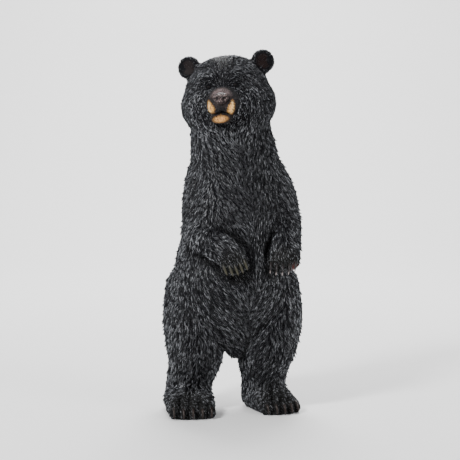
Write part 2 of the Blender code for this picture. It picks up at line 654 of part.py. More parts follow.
def main():
    clear_scene()
    mesh, claws = form()
    carve_locks(mesh, claws)
    sink_eyes_and_ears(mesh)
    mesh = thinned(thinned(mesh, FACE_TRIANGLES), CARVED_TRIANGLES, spare_face=True)
    bear = bpy.data.objects.new("bear", mesh)
    bpy.context.scene.collection.objects.link(bear)
    details = crisp_details(claws)
    join = bear.modifiers.new("details", "BOOLEAN")
    join.operation = "UNION"
    join.solver = "EXACT"
    join.object = details
    mesh = finished(bear)
    bpy.data.objects.remove(details)
    cut_soles(mesh)
    stand(mesh)
    mesh.materials.clear()
    mesh.materials.append(coat())
    bear = bpy.data.objects.new("bear", mesh)
    bpy.context.scene.collection.objects.link(bear)


main()
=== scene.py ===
import math
import bpy
import numpy as np
from mathutils import Matrix, Vector


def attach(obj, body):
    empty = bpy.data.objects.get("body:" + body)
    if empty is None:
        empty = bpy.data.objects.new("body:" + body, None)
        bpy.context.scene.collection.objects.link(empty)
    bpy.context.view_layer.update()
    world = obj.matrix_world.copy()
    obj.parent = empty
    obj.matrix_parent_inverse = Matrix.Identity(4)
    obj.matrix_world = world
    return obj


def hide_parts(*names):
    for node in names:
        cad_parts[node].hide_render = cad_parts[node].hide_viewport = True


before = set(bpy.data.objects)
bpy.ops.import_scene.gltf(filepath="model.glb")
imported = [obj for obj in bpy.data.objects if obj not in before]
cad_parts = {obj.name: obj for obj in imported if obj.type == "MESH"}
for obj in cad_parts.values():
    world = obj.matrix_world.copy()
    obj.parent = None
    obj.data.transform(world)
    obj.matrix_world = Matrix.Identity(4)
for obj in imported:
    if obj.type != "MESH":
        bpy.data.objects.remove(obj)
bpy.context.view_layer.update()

print("frame loaded")

# the pose is written in shares of the height: one unit is a millimetre on a bear 400 mm tall
figure = {
    "unit": 0.001,
    "stand": (0.00064, 0.00262, -0.0012),   # from the pose to the frame, in metres
    "trunkYaw": 18,
    "headCentre": (-8.5, -4, 354),
    "headYaw": -5,
    "headRoll": -5,
    "headPitch": -2,
    "massVoxel": 2.6,
    "massRounds": 10,
    "skinVoxel": 1.6,
    "skinRounds": 6,
    "seed": 11,
}
unit = figure["unit"]
stand = np.array(figure["stand"])
rng = np.random.default_rng(figure["seed"])


def turn(axis, degrees):
    return Matrix.Rotation(math.radians(degrees), 4, axis)


headMatrix = Matrix.Translation(figure["headCentre"]) @ turn("Z", figure["headYaw"])
headMatrix = headMatrix @ turn("Y", figure["headRoll"]) @ turn("X", figure["headPitch"])
headTurn = np.array(headMatrix)[:3, :3]
headPlace = np.array(headMatrix)[:3, 3]


def toHead(points):
    # head frame in units: origin in the skull, x to the bear's left, -y out along the muzzle
    return (toPose(points) - headPlace) @ headTurn


def fromHead(spots):
    return (np.asarray(spots, float) @ headTurn.T + headPlace) * unit + stand


def toFrame(spots):
    return np.asarray(spots, float) * unit + stand


def toPose(points):
    return (points - stand) / unit


def lengths(rows):
    return np.linalg.norm(rows, axis=-1)


def unitRows(rows):
    return rows / np.maximum(np.linalg.norm(rows, axis=-1, keepdims=True), 1e-12)


def onSkin(way, normals):
    # unit vectors, what stands off the skin taken out: way - normal * (way . normal)
    return unitRows(way - normals * (way * normals).sum(1)[:, None])


def ramp(low, high, x):
    # 0 at low, 1 at high, 3t^2 - 2t^3 between
    t = np.clip((x - low) / (high - low), 0, 1)
    return t * t * (3 - 2 * t)


def fillMesh(name, points, faceGroups):
    # a mesh from an array of points and arrays of faces, one array for each count of corners
    mesh = bpy.data.meshes.new(name)
    corners = np.concatenate([faces.ravel() for faces in faceGroups])
    sizes = np.concatenate([np.full(len(faces), faces.shape[1]) for faces in faceGroups])
    starts = np.concatenate(([0], np.cumsum(sizes)[:-1]))
    mesh.vertices.add(len(points))
    mesh.vertices.foreach_set("co", np.asarray(points, np.float32).ravel())
    mesh.loops.add(len(corners))
    mesh.loops.foreach_set("vertex_index", corners.astype(np.int32))
    mesh.polygons.add(len(sizes))
    mesh.polygons.foreach_set("loop_start", starts.astype(np.int32))
    mesh.update(calc_edges=True)
    mesh.polygons.foreach_set("use_smooth", np.ones(len(sizes), bool))
    mesh.update()
    return mesh


def linkObject(name, data):
    made = bpy.data.objects.new(name, data)
    bpy.context.scene.collection.objects.link(made)
    return made


def addPiece(name, mesh, material):
    piece = linkObject(name, mesh)
    mesh.materials.append(material)
    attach(piece, "root")
    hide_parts("bear")
    return piece


def setValues(mesh, name, values):
    # one number, or one colour, for each vertex
    colour = np.ndim(values) == 2
    found = mesh.attributes.new(name, "FLOAT_COLOR" if colour else "FLOAT", "POINT")
    if colour:
        full = np.ones((len(values), 4), np.float32)
        full[:, :3] = values
        found.data.foreach_set("color", full.ravel())
    else:
        found.data.foreach_set("value", np.asarray(values, np.float32))


def readMesh(mesh):
    points = np.empty(len(mesh.vertices) * 3, np.float32)
    mesh.vertices.foreach_get("co", points)
    normals = np.empty(len(mesh.vertices) * 3, np.float32)
    mesh.vertices.foreach_get("normal", normals)
    return points.reshape(-1, 3).astype(float), normals.reshape(-1, 3).astype(float)


def closeRings(rings):
    # a grid of rings closed at both ends in a point: points and faces
    count, sides = rings.shape[:2]
    ends = np.array((rings[0].mean(axis=0), rings[-1].mean(axis=0)))
    points = np.vstack((rings.reshape(-1, 3), ends))
    k = np.arange(sides)
    n = (k + 1) % sides
    row = np.arange(count - 1)[:, None] * sides
    quads = np.stack((row + k, row + n, row + sides + n, row + sides + k), axis=2).reshape(-1, 4)
    last = (count - 1) * sides
    first = np.stack((n, k, np.full(sides, count * sides)), axis=1)
    final = np.stack((last + k, last + n, np.full(sides, count * sides + 1)), axis=1)
    return points, quads, np.vstack((first, final))


def throughStations(rows, perSpan):
    # Catmull-Rom curve: each span is the cubic through its two rows with their neighbours' slopes
    rows = np.asarray(rows, float)
    full = np.vstack((2 * rows[0] - rows[1], rows, 2 * rows[-1] - rows[-2]))
    a, b, c, d = full[:-3, None], full[1:-2, None], full[2:-1, None], full[3:, None]
    t = (np.arange(perSpan) / perSpan)[None, :, None]
    spans = 0.5 * (2 * b + (c - a) * t + (2 * a - 5 * b + 4 * c - d) * t**2
                   + (3 * b - a - 3 * c + d) * t**3)
    return np.vstack((spans.reshape(-1, rows.shape[1]), rows[-1:]))


def limb(stations, front=(0, -1, 0), sides=36, perSpan=6, dome=0.7):
    # ellipses carried along a curve: point = centre + cos(u) * side * wide + sin(u) * fore * deep,
    # with three shrinking rings beyond each end for a dome
    rows = throughStations([(*place, wide, deep) for place, wide, deep in stations], perSpan)
    centres, wide, deep = rows[:, :3], rows[:, 3], rows[:, 4]
    along = unitRows(np.gradient(centres, axis=0))
    fore = np.array(front, float)
    fore = unitRows(fore - along * (along @ fore)[:, None])
    side = np.cross(along, fore)
    last = len(rows) - 1
    angles = np.radians((72, 48, 24))
    picks = np.concatenate(([0, 0, 0], np.arange(last + 1), [last, last, last]))
    shares = np.concatenate((np.cos(angles), np.ones(last + 1), np.cos(angles[::-1])))
    reach = dome * np.minimum(wide, deep)
    shifts = np.concatenate((-np.sin(angles) * reach[0], np.zeros(last + 1),
                             np.sin(angles[::-1]) * reach[last]))
    u = np.arange(sides) * 2 * math.pi / sides
    ring = (np.cos(u)[None, :, None] * (side * wide[:, None])[picks][:, None]
            + np.sin(u)[None, :, None] * (fore * deep[:, None])[picks][:, None])
    middles = centres[picks] + along[picks] * shifts[:, None]
    return closeRings(middles[:, None] + shares[:, None, None] * ring)


def ball(centre, radii, matrix=Matrix.Identity(4), turns=(0, 0, 0), rings=20, sides=32):
    # ellipsoid: point = centre + (a sin v cos u, b sin v sin u, c cos v), turned, put in its frame
    spin = Matrix.Translation(centre)
    for angle, axis in zip(turns, "XYZ"):
        spin = spin @ turn(axis, angle)
    placed = np.array(matrix @ spin)
    v = (np.arange(1, rings) * math.pi / rings)[:, None]
    u = (np.arange(sides) * 2 * math.pi / sides)[None]
    grid = np.stack((np.sin(v) * np.cos(u), np.sin(v) * np.sin(u), np.cos(v) + 0 * u), axis=2)
    grid = grid * np.array(radii, float)
    return closeRings((grid @ placed[:3, :3].T + placed[:3, 3])[::-1])


def inHead(stations):
    return [((headMatrix @ Vector(place))[:], wide, deep) for place, wide, deep in stations]


def stack(shapes):
    # closed shapes as one list of points and one set of faces for each count of corners
    points, quads, tris, count = [], [], [], 0
    for spots, fours, threes in shapes:
        points.append(spots)
        quads.append(fours + count)
        tris.append(threes + count)
        count += len(spots)
    groups = [np.vstack(quads), np.vstack(tris)]
    return np.vstack(points), [faces for faces in groups if len(faces)]


def fuse(shapes, voxel, rounds):
    # overlapping closed shapes made one skin, its joins rounded by smoothing, as arrays
    draft = linkObject("draft", fillMesh("draft", *stack(shapes)))
    remesh = draft.modifiers.new("fuse", "REMESH")
    remesh.mode = "VOXEL"
    remesh.voxel_size = voxel
    smooth = draft.modifiers.new("round", "SMOOTH")
    smooth.factor = 0.5
    smooth.iterations = rounds
    bpy.context.view_layer.update()
    graph = bpy.context.evaluated_depsgraph_get()
    mesh = bpy.data.meshes.new_from_object(draft.evaluated_get(graph))
    bpy.data.objects.remove(draft)
    spots, _ = readMesh(mesh)
    fours = np.empty(len(mesh.loops), np.int32)
    mesh.loops.foreach_get("vertex_index", fours)
    bpy.data.meshes.remove(mesh)
    return spots, fours.reshape(-1, 4), np.empty((0, 3), int)


# trunk and legs: centre, half width, half depth
trunk = (
    ((-3, 8, 98), 46, 42), ((-1, 5, 122), 64, 55), ((-1, 1, 148), 65, 58), ((1, -1, 180), 61, 53),
    ((3, 0, 214), 54, 49), ((5, 2, 246), 52, 47), ((3, 4, 270), 48, 47), ((0, 4, 290), 46, 46),
    ((-2, 3, 306), 44, 44), ((-4, 1, 324), 43, 42),
)
rightLeg = (
    ((-37, 10, 140), 36, 42), ((-41, 2, 108), 35, 44), ((-42, -2, 82), 32.5, 39),
    ((-43.5, 3, 58), 28, 33), ((-48.8, 7, 36), 23.5, 29), ((-50.7, 6, 14), 24.5, 31),
)
leftLeg = (
    ((37, 14, 140), 33, 42), ((40, 8, 108), 33, 44), ((38.5, 4, 82), 31.5, 38),
    ((34.5, 9, 58), 28, 32), ((34, 15, 36), 22, 28), ((34.5, 14, 14), 23, 29),
)
# forearms, hung before the belly
rightArm = (((-40, -10, 204), 17, 17), ((-31, -34, 194), 16, 17), ((-16, -50, 186.5), 14, 16),
            ((-3, -60, 177.5), 12, 14))
leftArm = (((59.5, -2, 214), 14, 18), ((58.5, -14, 202), 15, 17), ((56.5, -28, 190), 15.2, 15),
           ((55.8, -41, 179), 15.5, 13))
# ears, eyes and muzzle in the head's frame
ears = {"middle": (2.7, 4, 32), "apart": 82, "radii": (12.5, 6, 12.5), "yaw": 16, "hollow": 4.2,
        "rim": 2.4, "root": ((7, -2, 7), (12, 9, 12))}
eyes = {"place": (14.5, -37.2, 6.5), "radius": 2.0, "socketDepth": 1.5, "socketReach": 6,
        "bare": 2.3, "lids": (3.2, 2.5, 2.6), "opening": (2.2, 1.1)}
muzzleMiddle = (0, -52, -13)
noseLevel = -8.5
muzzleSlant = 0.14   # how far the paint and the groove lean aside, for each unit below the nose


def earMiddle(side):
    return np.array(ears["middle"]) + (side * ears["apart"] / 2, 0, 0)


def earAcross(side):
    # the way across the face of an ear
    yaw = math.radians(side * ears["yaw"])
    return np.array((math.cos(yaw), math.sin(yaw), 0))


def fromEye(seen, side):
    return lengths(seen - np.array(eyes["place"]) * (side, 1, 1))


def fromMuzzle(seen):
    return lengths(seen - np.array(muzzleMiddle))


def masses():
    # trunk, limbs and skull, which flow into each other
    headUp = headTurn @ np.array((0, 0, 1.0))
    trunkFront = turn("Z", figure["trunkYaw"]) @ Vector((0, -1, 0))
    shapes = [
        limb(trunk, trunkFront), limb(rightLeg, trunkFront),
        limb(leftLeg, turn("Z", 26) @ Vector((0, -1, 0))),
        ball((-26, 24, 112), (40, 36, 44)), ball((24, 28, 112), (40, 36, 44)),
        ball((11, -16, 150), (46, 42, 54), turns=(0, 0, figure["trunkYaw"])),
        ball((2, 20, 262), (46, 34, 44)),
        limb((((-30, 4, 266), 20, 26), ((-36, 0, 240), 18.5, 27), ((-38, -4, 210), 17.5, 23))),
        limb((((37, 6, 264), 20, 26), ((47, 4, 240), 21.5, 27), ((54, 2, 208), 19.5, 23))),
        ball((-3, -12, 314), (37, 34, 32)), ball((-2, 20, 322), (38, 30, 44)),
        ball((2, 2, 0), (46.5, 43, 40), headMatrix), ball((2, 4, 12), (41, 38, 29.5), headMatrix),
        ball((-21.5, -6, -13), (27.5, 32, 29), headMatrix),
        ball((25, -4, -13), (29.5, 33, 29), headMatrix),
        ball((0, -4, -26), (38, 34, 22), headMatrix),
        limb(inHead((((0, -20, -10), 25, 22), ((0, -38, -12), 19, 18),
                     ((0, -50, -13), 15.5, 14.5))), front=headUp, dome=0.5),
        ball((-13.5, -27, 15), (14, 14, 8), headMatrix, (0, 14, 0)),
        ball((13.5, -27, 15), (14, 14, 8), headMatrix, (0, -14, 0)),
    ]
    return fuse(shapes, figure["massVoxel"], figure["massRounds"])


# toes and claws: spread and rise in shares of the paw's or foot's half width and thickness, the
# rest in units; a claw's base, bend and point are each ahead of its toe's end and out from its back
pawToes = {"spread": (0.74, 0.84), "rise": (0.42, 0.2), "lead": 2.5, "arc": 3.2,
           "radii": (3.7, 4.4), "claw": ((-2.5, 4.4), (2.4, 4.8), (6, 0.8))}
footToes = {"spread": (0.72, 0.80), "rise": (0.56, 0.24), "root": 19, "arc": (3, 5),
            "radii": ((4.6, 5.4), (4.8, 6.4), (4.5, 6.2)),
            "claw": ((0.5, 5.8), (4.6, 4.9), (6.2, -4.6))}


def paw(wrist, tip, across, width, thick, droop=0.0):
    # a fore paw and its toes; with them each claw's base, bend and point, slid on by the droop
    wrist, tip, across = Vector(wrist), Vector(tip), Vector(across).normalized()
    middle = wrist.lerp(tip, 0.55)
    ahead = (tip - wrist).normalized()
    back = across.cross(ahead).normalized()
    if back.y > 0:
        back = -back
    shapes = [limb(((wrist, width, thick), (middle, width, thick * 0.9),
                    (tip, width * 0.86, thick * 0.66)), front=back, dome=0.5)]
    claws = []
    for place in (-1, -0.5, 0, 0.5, 1):
        side = across * place * width
        lead = pawToes["lead"] - pawToes["arc"] * place * place
        root = middle + side * pawToes["spread"][0] + back * thick * pawToes["rise"][0]
        end = tip + side * pawToes["spread"][1] + ahead * lead + back * thick * pawToes["rise"][1]
        shapes.append(limb([(spot, *pawToes["radii"]) for spot in (root, end)], front=back,
                           sides=16, dome=0.9))
        claws.append([end + ahead * (far + droop) + back * out for far, out in pawToes["claw"]])
    return shapes, claws


def foot(heel, toe, width, height):
    # a hind foot from heel to toes; with it each claw's base, bend and point
    heel, toe = Vector(heel), Vector(toe)
    ahead = (toe - heel).normalized()
    across = Vector((-ahead.y, ahead.x, 0))
    up = Vector((0, 0, 1))
    shapes = [limb(
        ((heel + up * height * 0.55, width * 0.96, height * 0.66),
         (heel.lerp(toe, 0.45) + up * height * 0.50, width, height * 0.64),
         (toe - ahead * 14 + up * height * 0.38, width * 0.96, height * 0.48),
         (toe - ahead * 5 + up * height * 0.32, width * 0.88, height * 0.38)), front=up, dome=0.5)]
    claws = []
    for place in (-1, -0.5, 0, 0.5, 1):
        side = across * place * width
        back = footToes["root"] + footToes["arc"][0] * place * place
        root = toe - ahead * back + side * footToes["spread"][0] + up * height * footToes["rise"][0]
        back = 1.5 + footToes["arc"][1] * place * place
        end = toe - ahead * back + side * footToes["spread"][1] + up * height * footToes["rise"][1]
        stations = zip((root, root.lerp(end, 0.6) + up * 1.6, end), footToes["radii"])
        shapes.append(limb([(spot, *radii) for spot, radii in stations], front=up,
                           sides=16, dome=0.85))
        claws.append([end + ahead * far + up * high for far, high in footToes["claw"]])
    return shapes, claws


shapes = [masses()]
clawSets = {}
for name, (made, claws) in {
    "paw_right": paw((-3, -59.5, 178), (2.6, -66, 165), (1, 0.05, 0.25), 13.5, 12),
    "paw_left": paw((55.5, -41, 180), (53.8, -48, 167), (1, 0.05, 0.05), 16, 12, droop=4.0),
    "foot_right": foot((-52.5, 16, 0), (-43.5, -62, 0), 25.5, 27),
    "foot_left": foot((31, 25, 0), (55.5, -33, 0), 22.5, 26),
}.items():
    shapes += made
    clawSets[name] = claws
for side in (-1, 1):
    spot = earMiddle(side)
    shapes.append(ball(spot, ears["radii"], headMatrix, (0, 0, side * ears["yaw"])))
    (out, back, down), radii = ears["root"]
    shapes.append(ball(spot - (side * out, back, down), radii, headMatrix))
shapes += [
    limb(rightArm, front=(0.5, -0.1, 0.85)), limb(leftArm),
    ball((-64.5, 12, 7), (11, 15, 9)),   # tuft behind the right foot's outer toes
    ball((4, 6, 73), (13, 28, 12.5)),   # fold at the crotch
    ball((2, 60, 120), (9, 9, 14), turns=(20, 0, 0)),   # tail
]
skinPoints, skinQuads, _ = fuse(shapes, figure["skinVoxel"], figure["skinRounds"])
skinPoints = toFrame(skinPoints)
print("skin fused,", len(skinPoints), "points")


def inEar(seen, side):
    # distance from the middle of an ear, over its face; more behind and before it
    off = seen - earMiddle(side)
    return np.hypot(off @ earAcross(side), off[:, 2]) + 9 * (np.abs(off[:, 1]) > 9)


def mouthAt(x):
    # height of the mouth's line in the head's frame: a bow that falls to the bear's left
    return np.interp(x, (-14, -6, 0, 5, 10, 16), (-23.8, -22.9, -22.3, -24.4, -26.3, -26.4))


def dentSkin(points, normals):
    # sockets round the eyes and hollows in the ears: a bell or bowl pressed in along the normal
    seen = toHead(points)
    facing = normals @ headTurn
    depth = np.zeros(len(points))
    for side in (-1, 1):
        depth += eyes["socketDepth"] * np.exp(-((fromEye(seen, side) / eyes["socketReach"]) ** 2))
        across = earAcross(side)
        off = seen - earMiddle(side)
        fore = facing @ np.array((across[1], -across[0], 0))
        share = np.hypot(off @ across, off[:, 2]) / (ears["radii"][0] - ears["rim"])
        inside = (lengths(off) < 16) & (fore > 0.1)
        depth += inside * ears["hollow"] * np.clip(1 - share**2, 0, 1) ** 0.8
    return points - normals * (depth * unit)[:, None]


def hollowDepth(points, normals, quads, rounds):
    # how deep each point lies in a hollow, in units: each point is moved halfway to the mean of its
    # neighbours, again and again, and the depth is (smoothed - point) . normal
    start, end = np.vstack([quads[:, [k, (k + 1) % 4]] for k in range(4)]).T
    degree = np.bincount(start, minlength=len(points))[:, None]
    smoothed = points.copy()
    for _ in range(rounds):
        sums = [np.bincount(start, smoothed[end, axis], len(points)) for axis in range(3)]
        smoothed = (smoothed + np.stack(sums, axis=1) / degree) / 2
    return ((smoothed - points) * normals).sum(1) / unit


# creases pressed in, seen from the front: x, z and depth along each, and how far it reaches on the
# left and on the right of its way. First those beside the forearms
creases = (
    (((-30, 223, 0.5), (-21, 211, 2.2), (-3.6, 202, 3.8), (11.4, 189, 4.0), (16.5, 177, 3.4),
      (17, 166, 1.5)), 9.5, 1.7),
    (((-56, 199, 0.5), (-44, 183, 2.6), (-27.6, 176, 3.4), (-13.9, 167, 3.6), (-2, 157, 2.6)),
     1.7, 8.0),
    (((47, 223, 0.8), (42, 197, 3.4), (38.5, 185, 3.8), (40, 163, 2.4)), 1.7, 7.5),
) + tuple(   # between the toes of the feet: place and lean
    (((x + lean * 1.4, 35, 0.3), (x, 21, 3.0), (x - lean * 0.4, 5, 3.0)), 1.8, 1.8)
    for x, lean in ((-58.8, 3), (-48.8, 1), (-38.6, 0), (-28.6, -2),
                    (42.4, -2), (50.8, -3), (59, -4), (67.2, -4.5))
) + tuple(   # between the claws of the right paw
    (((x - 2, 177, 0.3), (x, 170, 2.2), (x + 1.5, 163, 2.2)), 1.2, 1.2)
    for x in (-6.8, -0.6, 5.2, 11)
)


def creaseDepth(points, normals):
    # signed distance to each crease's nearest stretch, seen from the front; depth falls off as
    # exp(-(distance / reach)^2) on either side
    spots = toPose(points)[:, [0, 2]]
    total = np.zeros(len(points))
    for path, left, right in creases:
        path = np.array(path, float)
        start, step = path[:-1, :2], np.diff(path[:, :2], axis=0)
        off = spots[:, None] - start[None]
        t = np.clip((off * step).sum(2) / (step**2).sum(1), 0, 1)
        gap = off - t[..., None] * step
        far = lengths(gap)
        best = far.argmin(axis=1)
        row = np.arange(len(points))
        beside = step[best, 0] * gap[row, best, 1] - step[best, 1] * gap[row, best, 0]
        reach = np.where(beside > 0, left, right)
        depth = path[best, 2] + (path[best + 1, 2] - path[best, 2]) * t[row, best]
        total = np.maximum(total, depth * np.exp(-((far[row, best] / reach) ** 2)))
    front = ramp(0.1, -0.35, normals[:, 1]) * ramp(-2, -14, toPose(points)[:, 1])
    return total * front


# way the fur lies, read off the photo: a place on the body and the direction there, whose last
# two parts are 0 and -1 where they are left out
flow = (
    (-37, -28, 317, 0.6), (-20, -42, 306, 0.9), (0, -45, 301, 0.9), (15, -42, 302, 0),
    (27, -33, 302, -0.6), (38, -21, 306, 0.2), (-40, -23, 292, 0), (-27, -35, 279, 0.8),
    (-8, -43, 279, 1), (5, -45, 275, 0.2), (20, -42, 275, -0.6), (30, -37, 274, -0.2),
    (45, -19, 281, 0.5), (-48, -16, 260, -0.35), (-35, -31, 254, -0.7), (-11, -46, 255, 0.8),
    (8, -49, 254, 0.8), (21, -45, 252, 0), (37, -36, 253, 0.3), (55, -19, 253, 0.6),
    (-50, -23, 230, -0.2), (-38, -34, 233, -0.7), (-9, -50, 231, 0.9), (6, -51, 232, 1),
    (20, -49, 231, 0.1), (34, -43, 231, -0.8), (55, -24, 230, 0.7), (65, -20, 223, 0.35),
    (-47, -38, 210, -0.5), (-32, -44, 212, -0.2), (-8, -54, 211, 1), (10, -55, 212, 1),
    (24, -51, 212, -0.3), (38, -42, 208, -0.7), (55, -34, 208, 0.4), (69, -30, 205, 0.3),
    (-43, -51, 197, 0.7), (-30, -62, 190, 1, 0, -0.7), (-16, -66, 188, 1, 0, -0.7),
    (-2, -69, 181, 0.4), (3, -68, 173, 0), (54, -53, 187, 0.25), (65, -53, 189, 0.2),
    (46, -57, 175, 0.4), (58, -58, 172, 0.3), (-46, -44, 170, 0.2), (-30, -54, 155, 0.7),
    (-9, -58, 148, 0.9), (10, -57, 158, 0.7), (19, -59, 146, 0.1), (31, -51, 170, -0.3),
    (37, -50, 144, -0.9), (54, -31, 144, -0.7), (65, -23, 136, 0.2), (-62, -24, 147, -0.4),
    (-69, -20, 126, -0.1), (-53, -38, 129, 0.1), (-37, -49, 130, 0.8), (-14, -55, 126, 0.9),
    (6, -55, 126, 0.9), (18, -52, 120, 0), (30, -50, 125, -0.9), (48, -33, 123, -0.9),
    (63, -30, 114, 0.5), (71, -20, 124, 0.1), (-62, -32, 99, -0.4), (-48, -40, 101, -0.2),
    (-31, -42, 102, 0.5), (-9, -40, 99, 0.9), (8, -41, 101, 0.8), (20, -34, 97, -0.4),
    (34, -33, 96, -0.9), (45, -36, 97, 0.2), (58, -31, 94, 0.6), (-66, -28, 77, -0.1),
    (-51, -38, 80, -0.7), (-37, -42, 79, -0.5), (-29, -38, 79, 0.5), (-14, -28, 77, 0.9),
    (7, -23, 76, 0.7), (28, -30, 76, -0.9), (40, -33, 78, -0.6), (54, -32, 79, 0.3),
    (63, -26, 78, -0.2), (-67, -11, 47, -0.2), (-54, -27, 49, -0.7), (-42, -32, 52, -0.3),
    (-30, -29, 50, 0.3), (-21, -26, 55, -0.2), (20, -15, 44, 0), (30, -23, 52, -0.8),
    (41, -24, 52, -0.4), (55, -23, 57, -0.3), (-67, -21, 25, -0.1), (-54, -31, 27, -0.2),
    (-39, -33, 26, 0.4), (-29, -24, 25, 0.4), (19, -6, 24, 0.1), (32, -13, 25, -0.3),
    (47, -19, 22, 0.8, 0, -0.7), (57, -11, 23, 0.6), (-58, -50, 15, 0.5), (-41, -52, 14, 0.4),
    (-29, -50, 13, 0), (19, -6, 10, 0.8, 0, -0.7), (33, -28, 12, 1, 0, -0.8), (49, -31, 12, 0.6),
    (64, -22, 11, 0.5), (-76, 0, 130, -0.15, -0.1), (74, 5, 130, 0.1, -0.1),
    (-45, 0, 300, -0.1, 0.1), (45, 0, 300, 0.1, 0.1), (-58, 10, 190, 0), (62, 10, 190, 0),
    (-50, 42, 20, 0, 0.1), (34, 46, 20, 0, 0.1), (-45, 40, 60, 0, 0.1), (38, 44, 60, 0, 0.1),
    (-40, 55, 140, 0.3), (0, 64, 120, 0, 0.1), (40, 58, 140, -0.3), (-34, 46, 190, 0.3),
    (0, 56, 190, 0), (36, 46, 190, -0.3), (-34, 42, 240, 0.3), (0, 52, 240, 0),
    (36, 42, 240, -0.3), (0, 48, 290, 0),
)


def headFlow(seen):
    # over the head, in its own frame: up from the nose between the eyes, out over the brows and
    # down round the muzzle in rings (tangent = (side z, 0, -|x|) about the muzzle's middle);
    # behind the ears straight down, and on an ear out from its root
    side = np.sign(seen[:, 0])
    off = seen - np.array(muzzleMiddle)
    rings = unitRows(np.stack((side * off[:, 2], 0 * side, -np.abs(off[:, 0])), axis=1))
    fromNose = unitRows(seen - np.array((0, -62.5, noseLevel)))
    middle = (1 - ramp(3, 17, np.abs(seen[:, 0])))[:, None]
    way = rings * (1 - middle) + fromNose * middle
    behind = ramp(-10, 14, seen[:, 1])[:, None]
    way = way * (1 - behind) + np.array((0, 0.4, -0.9)) * behind
    for side in (-1, 1):
        off = seen - earMiddle(side)
        onEar = (1 - ramp(12, 17, lengths(off)))[:, None]
        way = way * (1 - onEar) + unitRows(off + np.array((side * 8, 0, 10))) * onEar
    return unitRows(way)


def furFlow(points, normals):
    # unit vectors along the skin: a mean of the flow's directions, each weighed by
    # 1 / (distance^2 + 60)^2, and the head's own flow above the jaw
    spots = toPose(points)
    rows = np.array([(*row, *(0, -1)[len(row) - 4:]) for row in flow], float)
    places, ways = rows[:, :3], rows[:, 3:]
    gaps = (spots**2).sum(1)[:, None] + (places**2).sum(1)[None] - 2 * spots @ places.T
    weights = 1 / (gaps + 60) ** 2
    way = weights @ ways / weights.sum(1)[:, None]
    seen = toHead(points)
    share = ramp(-50, -32, seen[:, 2])[:, None]
    way = unitRows(way) * (1 - share) + headFlow(seen) @ headTurn.T * share
    return onSkin(way, normals)


# locks of fur carved in the skin, in units, one in each cell of a grid; where along its length a
# lock starts, is highest and ends; and its breadth at the root, how it tapers, and at the tip
locks = {"cell": 7, "length": 17, "halfWidth": 4.6, "height": 0.8, "swing": 0.14,
         "headShare": 0.62, "comb": 0.22, "start": 0.12, "peak": 0.8, "end": 1.02,
         "root": 1.25, "taper": 1.15, "tip": 0.08}


def lockStrength(points, claws):
    # full on the body, none on nose, soles and toe tips; with it how large the locks are
    seen = toHead(points)
    spots = toPose(points)
    strength = ramp(18, 34, fromMuzzle(seen))
    strength *= ramp(4, 16, spots[:, 2])
    for side in (-1, 1):
        strength *= 0.25 + 0.75 * ramp(10, 17, lengths(seen - earMiddle(side)))
    for base, _, _ in claws:
        strength *= ramp(6, 20, lengths(spots - np.array(base)))
    return strength, 1 - (1 - locks["headShare"]) * ramp(-45, -25, seen[:, 2])


def carveLocks(points, normals, way, claws):
    # each lock is a long scale: height = high * rise(along) * (1 - side^2)^0.75, where rise climbs
    # from its root to its tip and falls off sharply; the highest lock at a point is kept there.
    # The way is combed towards each lock's middle line
    strength, size = lockStrength(points, claws)
    order = rng.permutation(len(points))
    cells = np.floor(points[order] / (locks["cell"] * unit)).astype(int)
    _, first = np.unique(cells, axis=0, return_index=True)
    roots = order[np.sort(first)]
    roots = roots[strength[roots] > 0.02]
    byLevel = np.argsort(points[:, 2], kind="stable")
    levels = points[byLevel, 2]
    raised = np.zeros(len(points))
    combed = way.copy()
    share = rng.uniform(0.85, 1.15, (3, len(roots)))
    swing = rng.uniform(-locks["swing"], locks["swing"], len(roots))
    for k, root in enumerate(roots):
        length = locks["length"] * unit * size[root] * share[0, k]
        half = locks["halfWidth"] * unit * size[root] * share[1, k]
        high = locks["height"] * unit * size[root] * strength[root] * share[2, k]
        across = np.cross(normals[root], way[root])
        heading = way[root] * math.cos(swing[k]) + across * math.sin(swing[k])
        across = np.cross(normals[root], heading)
        low, top = np.searchsorted(levels, points[root, 2] + np.array((-length, length)))
        near = byLevel[low:top]
        off = points[near] - points[root]
        close = (np.abs(off @ heading) < length) & (np.abs(off @ across) < half * 1.4)
        close &= (off * off).sum(1) < length * length
        close &= normals[near] @ normals[root] > 0.2
        near, off = near[close], off[close]
        along = off @ heading / length + locks["start"]
        wide = np.clip(locks["root"] - locks["taper"] * along * along, locks["tip"], 1)
        side = off @ across / (half * wide)
        fall = (locks["end"] - along) / (locks["end"] - locks["peak"])
        rise = np.where(along < locks["peak"], along / locks["peak"], fall)
        lift = high * np.clip(rise, 0, 1) * np.clip(1 - side * side, 0, 1) ** 0.75
        higher = lift > raised[near]
        near, lift, side = near[higher], lift[higher], side[higher]
        raised[near] = lift
        combed[near] = heading - across * (locks["comb"] * np.clip(side, -1, 1))[:, None]
    moved = points + normals * raised[:, None]
    return moved, onSkin(combed, normals), raised / (locks["height"] * unit)


def surfaceLookup(points, cell):
    # a volume of cells, each with the number of a point of the skin, spread to its neighbours
    low = points.min(axis=0) - 8 * cell
    spots = np.floor((points - low) / cell).astype(int)
    volume = np.full(spots.max(axis=0) + 9, -1)
    volume[tuple(spots.T)] = np.arange(len(points))
    for _ in range(5):
        for axis in range(3):
            for step in (1, -1):
                volume = np.where(volume < 0, np.roll(volume, step, axis), volume)
    return low, cell, volume


def nearest(lookup, spots):
    low, cell, volume = lookup
    cells = np.floor((spots - low) / cell).astype(int)
    cells = np.clip(cells, 0, np.array(volume.shape) - 1)
    return volume[tuple(cells.T)]


